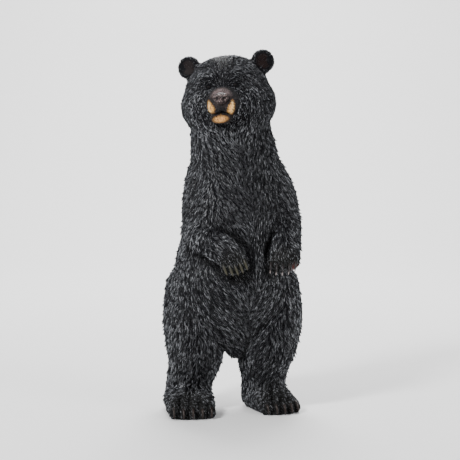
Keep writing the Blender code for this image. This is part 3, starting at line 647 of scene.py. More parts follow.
def scatter(points, quads, spacing):
    # places spread over the faces by area, thinned to one in each cell of the spacing
    corners = points[quads]
    across = np.cross(corners[:, 2] - corners[:, 0], corners[:, 3] - corners[:, 1])
    area = lengths(across) / 2
    count = int(area.sum() / spacing**2 * 5)
    picks = rng.choice(len(quads), count, p=area / area.sum())
    u, v = rng.random((2, count, 1))
    c = corners[picks]
    spots = (c[:, 0] * (1 - u) + c[:, 1] * u) * (1 - v) + (c[:, 3] * (1 - u) + c[:, 2] * u) * v
    cells = np.floor(spots / spacing).astype(int)
    _, first = np.unique(cells, axis=0, return_index=True)
    return spots[np.sort(first)]


# two rings of a stroke: along, breadth and height; and how deep its root sits in the skin
strokeRings = ((0.35, 1.0, 0.85), (0.75, 0.8, 1.0))
strokeSink = 0.45


def strokeTemplate():
    # one stroke of fur: root point, two rings of left foot, right foot and ridge, and the tip;
    # its faces, and how near each point is to the ridge
    threes = ((0, 1, 3), (0, 3, 2), (0, 2, 1), (4, 7, 6), (6, 7, 5), (5, 7, 4))
    fours = ((1, 4, 6, 3), (3, 6, 5, 2), (2, 5, 4, 1))
    ridge = np.array((0, 0, 0, 1, 0, 0, 1, 0.8))
    return np.array(threes), np.array(fours), ridge


def strokePattern(count):
    # flat pattern of the strokes: a square cell for each, with the left flank, the right flank and
    # the underside as strips one over the other, each face corner at (along, height in its strip)
    threes, fours, _ = strokeTemplate()
    along = np.array((0.05, 0.35, 0.35, 0.35, 0.72, 0.72, 0.72, 0.95))
    left = np.array((0.2, 0.06, 0.34, 0.34, 0.06, 0.34, 0.34, 0.2))
    right = np.array((0.52, 0.66, 0.66, 0.38, 0.66, 0.66, 0.38, 0.52))
    under = np.array((0.83, 0.94, 0.72, 0.83, 0.94, 0.72, 0.83, 0.83))
    strips = np.stack((left, right, under))
    side = math.ceil(math.sqrt(count))
    cell = np.stack((np.arange(count) % side, np.arange(count) // side), axis=1)[:, None, None]
    parts = []
    for faces, strip in ((threes, (0, 1, 2, 0, 1, 2)), (fours, (0, 1, 2))):
        spots = np.stack((along[faces], strips[np.array(strip)[:, None], faces]), axis=2)
        parts.append(((cell + spots[None]) / side).reshape(-1, 2))
    return np.vstack(parts)


def layStrokes(surface, seeds, length, width, height, lift, swing, bend):
    # each stroke starts at its seed and follows the fur's flow, each step brought back to the
    # skin's tangent plane; ring feet = path -+ side * half width, ridge = path + normal * height,
    # and the tip stands off by the lift. Strokes that leave the skin are dropped; the kept ones'
    # numbers come back too
    points, normals, way, lookup = surface
    near = nearest(lookup, seeds)
    up = normals[near]
    spot = seeds - up * ((seeds - points[near]) * up).sum(1)[:, None]
    heading = way[near]
    angle = swing[:, None]
    kept = near >= 0
    path, ups, ways = [spot], [up], []
    done = 0
    for along in [ring[0] for ring in strokeRings] + [1.0]:
        side = np.cross(up, heading)
        heading = unitRows(heading * np.cos(angle) + side * np.sin(angle))
        ways.append(heading)
        spot = spot + heading * (length * (along - done))[:, None]
        done = along
        near = nearest(lookup, spot)
        kept &= near >= 0
        kept &= lengths(spot - points[near]) < 4.5 * unit
        up = unitRows(0.5 * up + 0.5 * normals[near])
        spot = spot - up * ((spot - points[near]) * up).sum(1)[:, None]
        heading = way[near]
        angle = bend[:, None]
        path.append(spot)
        ups.append(up)
    sink = strokeSink * unit
    made = [path[0] - ups[0] * sink]
    for k, (_, broad, tall) in enumerate(strokeRings, 1):
        side = np.cross(ups[k], ways[k]) * (width * broad / 2)[:, None]
        raised = lift * (0, 0.1, 0.5)[k]
        foot = path[k] + ups[k] * (raised * 0.6 - sink)[:, None]
        made += [foot - side, foot + side, path[k] + ups[k] * (height * tall + raised)[:, None]]
    made.append(path[-1] + ups[-1] * (lift + height * 0.35)[:, None])
    return np.stack(made, axis=1)[kept], np.flatnonzero(kept)


def strokeMesh(name, strokes, coat, tone):
    threes, fours, ridge = strokeTemplate()
    count, corners = strokes.shape[:2]
    base = np.arange(count)[:, None, None] * corners
    mesh = fillMesh(name, strokes.reshape(-1, 3),
                    [(base + threes).reshape(-1, 3), (base + fours).reshape(-1, 4)])
    pattern = mesh.uv_layers.new(name="OFBake")
    pattern.data.foreach_set("uv", strokePattern(count).astype(np.float32).ravel())
    setValues(mesh, "ridge", np.tile(ridge, count))
    setValues(mesh, "tone", np.repeat(tone, corners))
    setValues(mesh, "coat", np.repeat(coat, corners, axis=0))
    return mesh


# paint of the coat, in linear colour
paint = {
    "black": (0.0042, 0.0043, 0.0055),
    "paws": (0.008, 0.008, 0.0078),
    "tan": (0.90, 0.49, 0.14),
    "cream": (0.95, 0.70, 0.34),
    "tanEdge": (0.28, 0.15, 0.06),
    "chin": (0.80, 0.42, 0.15),
    "bridge": (0.17, 0.128, 0.126),
    "earInside": (0.0155, 0.0125, 0.0125),
    "earInsideLeft": (0.012, 0.0075, 0.0072),
    "muzzleGrey": (0.055, 0.053, 0.056),
    "underNose": (0.034, 0.026, 0.025),
    "pawSpot": (0.13, 0.036, 0.03),
}


# tan patches beside the nose: side, and down them their inner and outer edges from the middle
patches = (
    (-1, (8.6, 11.3, 14, 17.5, 20, 22.8), (12.6, 10.2, 7.8, 5.4, 5.2, 6.6),
     (13.6, 14.6, 14.9, 14.6, 13.8, 11.5)),
    (1, (10.0, 12.9, 16.5, 19.5, 22.5, 25.4), (10.6, 9.8, 8.0, 7.0, 6.4, 10.2),
     (11.4, 13.2, 14.4, 14.6, 13.8, 11.6)),
)
# paws and feet as spots of paint: centre and reach
pawPaint = (((2, -66, 168), 26), ((54, -48, 168), 26), ((-44, -50, 14), 34), ((52, -24, 14), 34))


def nearness(spots, centre, full, end):
    # 1 within a distance of a place, 0 from another on
    return 1 - ramp(full, end, lengths(spots - np.array(centre, float)))


def coatAt(points):
    # colour of the coat at each point, by soft masks in the head's frame and near the paws
    seen = toHead(points)
    spots = toPose(points)
    x, y, z = seen.T
    across = x - muzzleSlant * np.minimum(z - noseLevel, 0)
    colour = np.tile(np.array(paint["black"]), (len(points), 1))

    def lay(name, mask):
        colour[:] = colour + (np.array(paint[name]) - colour) * np.clip(mask, 0, 1)[:, None]

    for centre, reach in pawPaint:
        lay("paws", nearness(spots, centre, reach * 0.5, reach))
    front = 1 - ramp(-44, -36, y)
    fromPad = np.hypot(x, (z - noseLevel) * 1.05)
    lay("bridge", front * (1 - ramp(8.5, 13.5, fromPad)) * ramp(-11, -1, z))
    under = 1 - ramp(5, 11, np.hypot(across, (z + 14) * 1.1))
    lay("underNose", front * under * ramp(-20, -16, z))
    for side, down, inner, outer in patches:
        inside, outside = np.interp(-z, down, inner), np.interp(-z, down, outer)
        patch = np.minimum(across * side - inside, outside - across * side)
        patch = np.minimum(patch, np.minimum(-z - down[0], z + down[-1]))
        lay("tanEdge", front * ramp(-1.0, 0.6, patch))
        lay("tan", front * ramp(0.2, 2.6, patch))
        rim = 1 - ramp(1.6, 4.2, outside - across * side)
        lay("cream", 0.85 * front * ramp(0.6, 2.0, patch) * rim)
    chin = np.hypot(across / 8.9, (z + 29.6) / 3.9)
    lay("tanEdge", 0.8 * front * (1 - ramp(0.8, 1.2, chin)) * (z < mouthAt(x) - 1.5))
    lay("chin", front * (1 - ramp(0.45, 1.0, chin)) * (z < mouthAt(x) - 2))
    for side, name in ((-1, "earInside"), (1, "earInsideLeft")):
        lay(name, (1 - ramp(6, 9.5, inEar(seen, side))) * (y < ears["middle"][1] - 1))
    lay("pawSpot", 0.8 * nearness(spots, (66, -50, 168), 2.5, 6))
    return colour


def setNode(tree, node, settings):
    # each setting is an input's constant, the socket that feeds it, or a property of the node
    for name, value in settings.items():
        if isinstance(value, bpy.types.NodeSocket):
            tree.links.new(value, node.inputs[name])
        elif isinstance(name, int) or name in node.inputs:
            node.inputs[name].default_value = value
        else:
            setattr(node, name, value)


def addNode(tree, kind, settings):
    made = tree.nodes.new("ShaderNode" + kind)
    setNode(tree, made, settings)
    return made.outputs


def noise(tree, scale, detail, rough):
    # grain over the piece's own coordinates
    place = addNode(tree, "TexCoord", {})["Object"]
    return addNode(tree, "TexNoise", {"Vector": place, "Scale": scale, "Detail": detail,
                                      "Roughness": rough})["Fac"]


def spread(tree, value, taken, given):
    # a value carried from one range to another and held inside it
    return addNode(tree, "MapRange", {"Value": value, "From Min": taken[0], "From Max": taken[1],
                                      "To Min": given[0], "To Max": given[1]})["Result"]


def combine(tree, operation, *values, clamp=False):
    settings = {"operation": operation, "use_clamp": clamp, **dict(enumerate(values))}
    return addNode(tree, "Math", settings)[0]


def bumped(tree, height, strength, distance):
    return addNode(tree, "Bump", {"Height": height, "Strength": strength,
                                  "Distance": distance})["Normal"]


def given(tree, name):
    return addNode(tree, "Attribute", {"attribute_name": name})


def twoColours(tree, factor, dark, light, ends):
    # from the dark colour to the light one, between two places on a ramp
    made = tree.nodes.new("ShaderNodeValToRGB")
    for element, place, colour in zip(made.color_ramp.elements, ends, (dark, light)):
        element.position, element.color = place, colour
    tree.links.new(factor, made.inputs["Fac"])
    return made.outputs["Color"]


def newPaint(name, gloss):
    material = bpy.data.materials.new(name)
    material.use_nodes = True
    tree = material.node_tree
    shader = tree.nodes["Principled BSDF"]
    shader.inputs["Specular IOR Level"].default_value = gloss
    return material, tree, shader


def brushGroup():
    # dry brushing and painted highlight: light paint on the ridges, partly a dry-brushed finish and
    # partly painted highlights, in patches and broken up by grain; a colour and a mask come out,
    # mask = ridge^2.6 * tone * grain * patch * amount
    group = bpy.data.node_groups.new("dryBrushAndHighlight", "ShaderNodeTree")
    for way, kind, names in (("INPUT", "Color", ("Coat", "Light")),
                             ("INPUT", "Float", ("Ridge", "Tone", "Amount", "Grain")),
                             ("OUTPUT", "Color", ("Color",)), ("OUTPUT", "Float", ("Mask",))):
        for name in names:
            group.interface.new_socket(name, in_out=way, socket_type="NodeSocket" + kind)
    enter = group.nodes.new("NodeGroupInput").outputs
    leave = group.nodes.new("NodeGroupOutput")
    grain = spread(group, noise(group, enter["Grain"], 4.0, 0.6), (0.30, 0.68), (0, 1))
    patch = spread(group, noise(group, 38.0, 3.0, 0.55), (0.3, 0.7), (0.75, 1.15))
    rise = combine(group, "POWER", enter["Ridge"], 2.6)
    lit = combine(group, "MULTIPLY", rise, enter["Tone"])
    lit = combine(group, "MULTIPLY", combine(group, "MULTIPLY", lit, grain), patch)
    mask = combine(group, "MULTIPLY", lit, enter["Amount"], clamp=True)
    mixed = addNode(group, "Mix", {"data_type": "RGBA", "Factor": mask, "A": enter["Coat"],
                                   "B": enter["Light"]})
    setNode(group, leave, {"Color": mixed["Result"], "Mask": mask})
    return group


dryBrushAndHighlight = brushGroup()


def furPaint(name, values):
    # paint over carved fur: dry-brushed ridges with painted highlights that also catch the light,
    # dull grooves, a bump of grain
    material, tree, shader = newPaint(name, values["gloss"])
    brush = addNode(tree, "Group", {
        "node_tree": dryBrushAndHighlight, "Light": values["light"], "Amount": values["amount"],
        "Grain": values["grain"], "Coat": given(tree, "coat")["Color"],
        "Ridge": given(tree, "ridge")["Fac"], "Tone": given(tree, "tone")["Fac"]})
    if values["glint"] > 0:
        glint = spread(tree, brush["Mask"], (0.08, 0.5), (0, values["glint"]))
        setNode(tree, shader, {"Coat Roughness": 0.22, "Coat Weight": glint})
    setNode(tree, shader, {
        "Base Color": brush["Color"],
        "Roughness": spread(tree, brush["Mask"], (0, 1), values["rough"]),
        "Normal": bumped(tree, noise(tree, 900.0, 3.0, 0.6), values["bump"], 0.0006)})
    return material


# the light colour laid on the ridges is partly dry brush and partly painted highlight
furCoat = {"light": (0.42, 0.435, 0.465, 1), "amount": 0.95, "grain": 950.0, "rough": (0.30, 0.5),
           "bump": 0.25, "gloss": 0.10, "glint": 0.75}
hideCoat = {"light": (0.03, 0.03, 0.036, 1), "amount": 0.3, "grain": 500.0, "rough": (0.5, 0.6),
            "bump": 0.5, "gloss": 0.05, "glint": 0.0}
furMaterial = furPaint("brushed_black_fur", furCoat)
hideMaterial = furPaint("black_hide", hideCoat)

# the skin under the fur: smoothing rounds that find broad and narrow hollows, how much of a broad
# one is pressed in, and how much darker the hollows are painted, as painted shade
hollows = {"broadRounds": 160, "narrowRounds": 24, "press": 0.35, "deepest": 2.0, "dark": 0.6,
           "onHead": 0.25}
hide = fillMesh("hide", skinPoints, [skinQuads])
_, skinNormals = readMesh(hide)
broad = hollowDepth(skinPoints, skinNormals, skinQuads, hollows["broadRounds"])
narrow = hollowDepth(skinPoints, skinNormals, skinQuads, hollows["narrowRounds"])
pressed = creaseDepth(skinPoints, skinNormals)
# mask of the broad and narrow hollows and the pressed creases, weaker on the head: it darkens the
# coat and the dry brush there as painted shade, and makes the strokes there smaller
skinCreaseShade = np.maximum(0.9 * ramp(0.8, 5.0, broad), ramp(0.25, 1.5, narrow))
skinCreaseShade = np.maximum(skinCreaseShade, ramp(0.6, 3.6, pressed))
skinCreaseShade *= 1 - (1 - hollows["onHead"]) * ramp(-45, -25, toHead(skinPoints)[:, 2])
pressed = np.clip(hollows["press"] * broad, 0, hollows["deepest"]) + pressed
skinPoints = skinPoints - skinNormals * (pressed * unit)[:, None]
skinFlow = furFlow(skinPoints, skinNormals)
allClaws = [claw for claws in clawSets.values() for claw in claws]
skinPoints, skinFlow, skinRise = carveLocks(skinPoints, skinNormals, skinFlow, allClaws)
skinPoints = dentSkin(skinPoints, skinNormals)
skinPoints[:, 2] = np.maximum(skinPoints[:, 2], 0)
hide.vertices.foreach_set("co", skinPoints.astype(np.float32).ravel())
hide.update()
# painted shade: the hide's coat darkened in the hollows and creases
setValues(hide, "coat", coatAt(skinPoints) * (1 - hollows["dark"] * skinCreaseShade)[:, None])
setValues(hide, "ridge", np.clip(skinRise, 0, 1))
setValues(hide, "tone", np.full(len(skinPoints), 0.4))
addPiece("hide", hide, hideMaterial)
print("hide carved,", len(skinPoints), "points")

# strokes of fur: sizes in units, their scatter, and the shares that are left on the back, head,
# muzzle, paws and ears
furLay = {"spacing": 1.75, "length": 6.4, "width": 1.3, "height": 1.15, "lift": 0.7, "swing": 0.11,
          "bend": 0.05, "wave": 0.10, "tufts": 0.07, "tuftLift": 2.6, "backFrom": 0.014,
          "backShare": 0.66, "backWider": 0.3, "headLoss": 0.38, "muzzleSize": 0.62,
          "pawSize": 0.48, "earSize": 0.6, "creaseLoss": 0.3, "earBare": {-1: 0.85, 1: 0.4}}
pawFur = (((2, -66, 166), 32), ((54, -50, 166), 30), ((-44, -56, 8), 40), ((54, -28, 8), 38))
# how light they are painted: a beta scatter and a share of bright ones, with gains and losses; the
# loss in creases is painted shade
furTone = {"scatter": (0.9, 2.4), "bright": 0.85, "brightShare": 0.13, "creaseLoss": 0.75,
           "faceGain": 1.9, "browLoss": 1.5, "chestLoss": 0.14, "middle": 0.35,
           "above": 0.16, "below": -0.35, "ears": {-1: 0.25, 1: 0.5}}


def waves(spots):
    # slow swings of the fur from place to place: a sum of sines of the place, about -1 to 1
    x, y, z = spots.T
    return (np.sin(x / 7.3 + 1.7 * np.sin(z / 11.0)) + np.sin(z / 8.9 - x / 13.0 + y / 9.0)
            + np.sin(x / 17.0 + z / 19.0 + 2.0)) / 2.2


def bareSkin(seeds):
    # places without strokes: soles, eyes, most of the ears' fronts, the muzzle, some of the back
    seen = toHead(seeds)
    bare = seeds[:, 2] < 1.5 * unit
    for side in (-1, 1):
        bare |= fromEye(seen, side) < eyes["bare"]
    for side in (-1, 1):
        front = (inEar(seen, side) < 8.5) & (seen[:, 1] < ears["middle"][1])
        bare |= front & (rng.random(len(seeds)) < furLay["earBare"][side])
    bare |= (seen[:, 1] < -40) & (np.hypot(seen[:, 0], seen[:, 2] + 14) < 17.5)
    back = seeds[:, 1] > furLay["backFrom"]
    return bare | back & (rng.random(len(seeds)) > furLay["backShare"])


def growFur(surface, seeds, crease):
    # stroke sizes: full on the body, smaller on head and paws, smallest near the muzzle
    seen = toHead(seeds)
    spots = toPose(seeds)
    count = len(seeds)
    size = 1 - furLay["headLoss"] * ramp(-50, -25, seen[:, 2])

    def shrink(share, full):
        size[:] = size * (share + (1 - share) * full)

    shrink(furLay["muzzleSize"], ramp(20, 46, fromMuzzle(seen)))
    for centre, reach in pawFur:
        shrink(furLay["pawSize"], 1 - nearness(spots, centre, reach * 0.45, reach))
    for side in (-1, 1):
        shrink(furLay["earSize"], ramp(7, 12, inEar(seen, side)))
    size *= 1 - furLay["creaseLoss"] * crease
    length = furLay["length"] * unit * size * rng.uniform(0.7, 1.3, count)
    width = furLay["width"] * unit * size**0.5 * rng.uniform(0.75, 1.25, count)
    width *= 1 + furLay["backWider"] * ramp(8, 22, spots[:, 1])
    height = furLay["height"] * unit * size**0.7 * rng.uniform(0.65, 1.3, count)
    lift = furLay["lift"] * unit * size * rng.uniform(0.2, 1.5, count)
    lift *= 1 + furLay["tuftLift"] * (rng.random(count) < furLay["tufts"])
    swing = furLay["wave"] * waves(spots) + rng.normal(0, furLay["swing"], count)
    bend = rng.normal(0, furLay["bend"], count)
    return layStrokes(surface, seeds, length, width, height, lift, swing, bend)


def furTones(seeds, crease):
    # how light each stroke is: the scatter, less in hollows as painted shade and less in ears, more
    # round the muzzle, a little less from the chest up, and with more contrast below it
    seen = toHead(seeds)
    level = toPose(seeds)[:, 2]
    count = len(seeds)
    tone = rng.beta(*furTone["scatter"], count)
    tone += furTone["bright"] * (rng.random(count) < furTone["brightShare"])
    tone = tone * (1 - furTone["creaseLoss"] * crease)
    gain = furTone["faceGain"] - furTone["browLoss"] * ramp(-8, 8, seen[:, 2])
    tone *= 1 + gain * (1 - ramp(25, 61, fromMuzzle(seen)))
    tone *= 1 - furTone["chestLoss"] * ramp(200, 225, level)
    apart = np.where(tone > furTone["middle"], furTone["above"], furTone["below"])
    tone *= 1 + (1 - ramp(185, 225, level)) * apart
    for side, share in furTone["ears"].items():
        outside = np.maximum(ramp(7, 11, inEar(seen, side)), seen[:, 1] > ears["middle"][1])
        tone *= share + (1 - share) * outside
    return tone


skinSurface = (skinPoints, skinNormals, skinFlow, surfaceLookup(skinPoints, 1.5 * unit))
seeds = scatter(skinPoints, skinQuads, furLay["spacing"] * unit)
seeds = seeds[~bareSkin(seeds)]
crease = skinCreaseShade[nearest(skinSurface[3], seeds)]
strokes, grown = growFur(skinSurface, seeds, crease)
strokes[..., 2] = np.maximum(strokes[..., 2], 0.0002)
seeds, crease = seeds[grown], crease[grown]
tone = furTones(seeds, crease)
# painted shade: each stroke's coat darkened in the hollows and creases
coat = coatAt(seeds) * (1 - hollows["dark"] * crease)[:, None]
seen = toHead(seeds)
spots = toPose(seeds)
# each stroke goes to the first area that takes it
areas = {
    "fur_head": seen[:, 2] > -34,
    "fur_back": spots[:, 1] > 14,
    "fur_chest": spots[:, 2] > 214,
    "fur_belly": spots[:, 2] > 120,
    "fur_legs": spots[:, 2] > -10,
}
taken = np.zeros(len(seeds), bool)
for name, area in areas.items():
    picks = area & ~taken
    taken |= picks
    addPiece(name, strokeMesh(name, strokes[picks], coat[picks], tone[picks]), furMaterial)
    print(name, int(picks.sum()), "strokes")


def starSurface(centre, lobes, rings, sides, sharp):
    # rays from a centre: reach along a ray = soft maximum of its far crossings with the ellipsoids,
    # (sum of reach^sharp)^(1/sharp); the poles lie on the y axis. In the head's frame
    v = (np.arange(1, rings) * math.pi / rings)[:, None]
    u = (np.arange(sides) * 2 * math.pi / sides)[None]
    rays = np.stack((np.sin(v) * np.cos(u), -np.cos(v) + 0 * u, np.sin(v) * np.sin(u)), axis=2)
    total = np.zeros(rays.shape[:2])
    for place, radii in lobes:
        start = (np.array(centre, float) - np.array(place, float)) / np.array(radii, float)
        scaled = rays / np.array(radii, float)
        a = (scaled**2).sum(2)
        b = scaled @ start
        inside = b * b - a * (start @ start - 1)
        far = np.where(inside > 0, (-b + np.sqrt(np.maximum(inside, 0))) / a, 0)
        total += np.maximum(far, 0) ** sharp
    return np.array(centre, float) + rays * (total ** (1 / sharp))[..., None], rays


muzzle = {
    "centre": (0, -42, -15),
    "lobes": (((0, -38, -11), (18.5, 22, 15.5)), ((0, -48, -12), (14.5, 13.5, 12)),
              ((-6.8, -51.5, -17), (8.4, 9.5, 7)), ((6.8, -51.5, -17), (8.4, 9.5, 7)),
              ((-2.7, -44.5, -28.4), (10.8, 13, 6.4)), ((0, -36, -4), (12, 20, 8))),
    "mouthDepth": 2.2,
    "philtrumDepth": 0.9,
}


def muzzleRings():
    spots, rays = starSurface(muzzle["centre"], muzzle["lobes"], 150, 200, 16)
    x, y, z = spots[..., 0], spots[..., 1], spots[..., 2]
    front = 1 - ramp(-48, -40, y)
    mouth = np.exp(-(((z - mouthAt(x)) / 1.1) ** 2))
    cut = muzzle["mouthDepth"] * mouth * front * (1 - ramp(12, 15, np.abs(x)))
    middle = x - muzzleSlant * (z - noseLevel)
    philtrum = np.exp(-((middle / 0.8) ** 2))
    cut += (muzzle["philtrumDepth"] * philtrum * front * ramp(-25, -22, z)
            * (1 - ramp(-14, -11, z)))
    return spots - rays * cut[..., None]


def headPiece(name, rings, material, values=None):
    points, quads, tris = closeRings(rings)
    points = fromHead(points)
    mesh = fillMesh(name, points, [quads, tris])
    for key, made in (values or {}).items():
        setValues(mesh, key, made(points))
    return addPiece(name, mesh, material), points, quads


def evenly(value):
    return lambda points: np.full(len(points), value)


muzzleMaterial = furPaint("short_muzzle_fur", {
    **furCoat, "light": (0.9, 0.66, 0.32, 1), "amount": 0.08, "rough": (0.5, 0.6), "bump": 0.5})
muzzlePiece, muzzlePoints, muzzleQuads = headPiece(
    "muzzle", muzzleRings(), muzzleMaterial,
    {"coat": coatAt, "ridge": evenly(0.5), "tone": evenly(0.6)})
print("muzzle shaped")

nose = {"centre": (0, -61.2, noseLevel), "radii": (8.6, 6.2, 6.4), "nostril": 3.0, "groove": 0.7}


def nostrils(x, z):
    # two commas: a round bell beside the middle and a flatter one out and up from it
    hole = np.exp(-((np.abs(x) - 3.9) / 1.5) ** 2 - ((z + 0.3) / 1.25) ** 2)
    tail = np.exp(-((np.abs(x) - 6.0) / 1.4) ** 2 - ((z - 0.9) / 0.7) ** 2)
    return np.clip(hole + 0.6 * tail, 0, 1)


def noseRings():
    # pad: an ellipsoid narrowed downwards, with the nostrils and a groove pressed in
    spots, rays = starSurface(nose["centre"], ((nose["centre"], nose["radii"]),), 90, 120, 8)
    off = spots - np.array(nose["centre"])
    x, y, z = off[..., 0], off[..., 1], off[..., 2]
    narrow = 1 - 0.30 * ramp(1, -7, z)
    front = 1 - ramp(-2, 1, y)
    cut = front * (nose["nostril"] * nostrils(x, z)
                   + nose["groove"] * np.exp(-((x / 0.6) ** 2)) * (1 - ramp(0, 3, z)))
    rim = 0.35 * np.exp(-((np.hypot(np.abs(x) - 3.9, z + 0.3) - 2.5) / 0.7) ** 2) * front
    shaped = off.copy()
    shaped[..., 0] *= narrow
    return np.array(nose["centre"]) + shaped - rays * (cut - rim)[..., None]


def noseShade(points):
    # dark in the nostrils, full elsewhere
    off = toHead(points) - np.array(nose["centre"])
    return 1 - 0.9 * ramp(0.25, 0.7, nostrils(off[:, 0], off[:, 2])) * (off[:, 1] < 0)


def glossPaint(name, values):
    # satin paint: two colours in speckles, darkened by the shade attribute, pebbled by a bump
    material, tree, shader = newPaint(name, values["gloss"])
    patch = noise(tree, values["patch"], 4.0, 0.6)
    speckled = twoColours(tree, patch, values["dark"], values["light"], values["speckle"])
    shaded = addNode(tree, "Mix", {"data_type": "RGBA", "blend_type": "MULTIPLY", "Factor": 1.0,
                                   "A": speckled, "B": given(tree, "shade")["Color"]})
    pebble = addNode(tree, "TexVoronoi", {"Scale": values["pebble"],
                                          "Vector": addNode(tree, "TexCoord", {})["Object"]})
    setNode(tree, shader, {
        "Base Color": shaded["Result"], "Roughness": spread(tree, patch, (0, 1), values["rough"]),
        "Normal": bumped(tree, pebble["Distance"], values["bump"], 0.0008)})
    return material


# the pale speckles on the pad are painted highlights: glints on the dark pad
noseMaterial = glossPaint("nose_leather", {
    "dark": (0.010, 0.0045, 0.0048, 1), "light": (0.34, 0.25, 0.235, 1), "patch": 640.0,
    "speckle": (0.5, 0.76), "rough": (0.45, 0.25), "pebble": 700.0, "bump": 0.8, "gloss": 0.3})
headPiece("nose_pad", noseRings(), noseMaterial, {"shade": noseShade})

eyeMaterial = glossPaint("eye_glaze", {
    "dark": (0.002, 0.0018, 0.0018, 1), "light": (0.009, 0.005, 0.004, 1), "patch": 500.0,
    "speckle": (0.35, 0.68), "rough": (0.25, 0.4), "pebble": 3000.0, "bump": 0.02, "gloss": 0.15})
for side, name in ((-1, "right"), (1, "left")):
    spot = np.array(eyes["place"]) * (side, 1, 1)
    spots, _ = starSurface(spot, ((spot, (eyes["radius"],) * 3),), 40, 56, 8)
    headPiece("eye_" + name, spots, eyeMaterial, {"shade": evenly(1.0)})
    # lids: a larger ball with an almond opening pressed in
    lids, rays = starSurface(spot, ((spot, eyes["lids"]),), 60, 90, 8)
    off = lids - spot
    half, high = eyes["opening"]
    edge = high * np.sqrt(np.clip(1 - (off[..., 0] / half) ** 2, 0, 1))
    gap = 1 - ramp(-0.4, 0.4, np.abs(off[..., 2] + 0.3) - edge)
    gap *= 1 - ramp(-1.8, -0.6, off[..., 1])
    lids = lids - rays * (1.1 * gap)[..., None]
    headPiece("eyelid_" + name, lids, hideMaterial,
              {"coat": lambda points: np.tile((0.004, 0.004, 0.005), (len(points), 1)),
               "ridge": evenly(0.6), "tone": evenly(0.4)})
print("nose and eyes set")

# short fur on the muzzle, in units
muzzleFur = {"spacing": 1.05, "length": (2.2, 3.6), "width": (0.65, 1.0), "height": (0.45, 0.9),
             "lift": (0.0001, 0.0004), "swing": 0.25, "bend": 0.06, "root": (0, -66, noseLevel)}
_, muzzleNormals = readMesh(muzzlePiece.data)
muzzleWay = unitRows(toHead(muzzlePoints) - np.array(muzzleFur["root"])) @ headTurn.T
muzzleWay = onSkin(muzzleWay, muzzleNormals)
muzzleSurface = (muzzlePoints, muzzleNormals, muzzleWay, surfaceLookup(muzzlePoints, 0.7 * unit))
spotsOn = scatter(muzzlePoints, muzzleQuads, muzzleFur["spacing"] * unit)
seen = toHead(spotsOn)
keep = (seen[:, 1] < -30) & (np.abs(seen[:, 2] - mouthAt(seen[:, 0])) > 0.9)
keep &= lengths((seen - np.array(nose["centre"])) / (7.6, 6.5, 5.8)) > 1
spotsOn = spotsOn[keep]
count = len(spotsOn)
length, width, height = (rng.uniform(*muzzleFur[name], count) * unit
                         for name in ("length", "width", "height"))
strokes, grown = layStrokes(
    muzzleSurface, spotsOn, length, width, height, rng.uniform(*muzzleFur["lift"], count),
    rng.normal(0, muzzleFur["swing"], count), rng.normal(0, muzzleFur["bend"], count))
count = len(grown)
shade = coatAt(spotsOn[grown]) * rng.beta(2.4, 1.3, (count, 1)) * 1.25
shade = np.maximum(shade, np.array(paint["muzzleGrey"]) * rng.beta(0.9, 1.8, (count, 1)))
addPiece("fur_muzzle", strokeMesh("fur_muzzle", strokes, shade, rng.random(count)), muzzleMaterial)
print("muzzle fur", count, "strokes")


def clawRings(base, bend, tip, radius):
    # a claw: circles carried along the quadratic curve through its base and point, radius falling
    # as (1 - t)^0.55, taller than broad, its root 3 units inside the toe
    base, bend, tip = (np.array(p, float) for p in (base, bend, tip))
    base = base - unitRows(bend - base) * 3
    t = np.linspace(0, 0.985, 16)[:, None]
    path = (1 - t) ** 2 * base + 2 * t * (1 - t) * (bend * 1.5 - (base + tip) * 0.25) + t**2 * tip
    along = unitRows(np.gradient(path, axis=0))
    side = unitRows(np.cross(along, np.array((0, 0, 1.0))))
    up = np.cross(side, along)
    wide = radius * (1 - t) ** 0.55
    u = np.arange(14) * 2 * math.pi / 14
    ring = np.cos(u)[None, :, None] * side[:, None] + 1.2 * np.sin(u)[None, :, None] * up[:, None]
    return path[:, None] + ring * wide[:, None]


def clawPiece(name, claws, material, radius):
    shapes = [closeRings(clawRings(*claw, radius)) for claw in claws]
    mesh = fillMesh(name, *stack([(toFrame(spots), *faces) for spots, *faces in shapes]))
    along = np.concatenate((np.repeat(np.linspace(0, 1, 16), 14), (0, 1)))
    setValues(mesh, "along", np.tile(along, len(claws)))
    addPiece(name, mesh, material)


def clawPaint(name, values):
    # horn: dark at the root, paler along the claw from a share of its length, with a satin sheen
    material, tree, shader = newPaint(name, 0.3)
    grain = noise(tree, 700.0, 4.0, 0.65)
    streaked = combine(tree, "MULTIPLY_ADD", grain, values["streak"], given(tree, "along")["Fac"])
    setNode(tree, shader, {
        "Base Color": twoColours(tree, streaked, values["root"], values["point"],
                                 (values["paleFrom"], 1.0)),
        "Roughness": spread(tree, grain, (0, 1), (0.25, 0.5)), "Coat Weight": 0.1,
        "Coat Roughness": 0.2, "Normal": bumped(tree, grain, 0.3, 0.0003)})
    return material


horn = {
    "olive_claw": {"root": (0.012, 0.011, 0.007, 1), "point": (0.036, 0.033, 0.018, 1),
                   "paleFrom": 0.45, "streak": 0.7},
    # left paw: dark claws whose pale points are painted glints
    "claw_painted_glint": {"root": (0.008, 0.006, 0.006, 1), "point": (0.30, 0.25, 0.24, 1),
                  "paleFrom": 0.8, "streak": 0.35},
    "dark_claw": {"root": (0.009, 0.006, 0.005, 1), "point": (0.017, 0.010, 0.008, 1),
                  "paleFrom": 0.45, "streak": 0.7},
}
horn = {name: clawPaint(name, values) for name, values in horn.items()}
for name, limbName, look, radius in (("claws_right_paw", "paw_right", "olive_claw", 1.65),
                                     ("claws_left_paw", "paw_left", "claw_painted_glint", 1.3),
                                     ("claws_right_foot", "foot_right", "dark_claw", 1.9),
                                     ("claws_left_foot", "foot_left", "dark_claw", 1.9)):
    clawPiece(name, clawSets[limbName], horn[look], radius)
print("claws set")

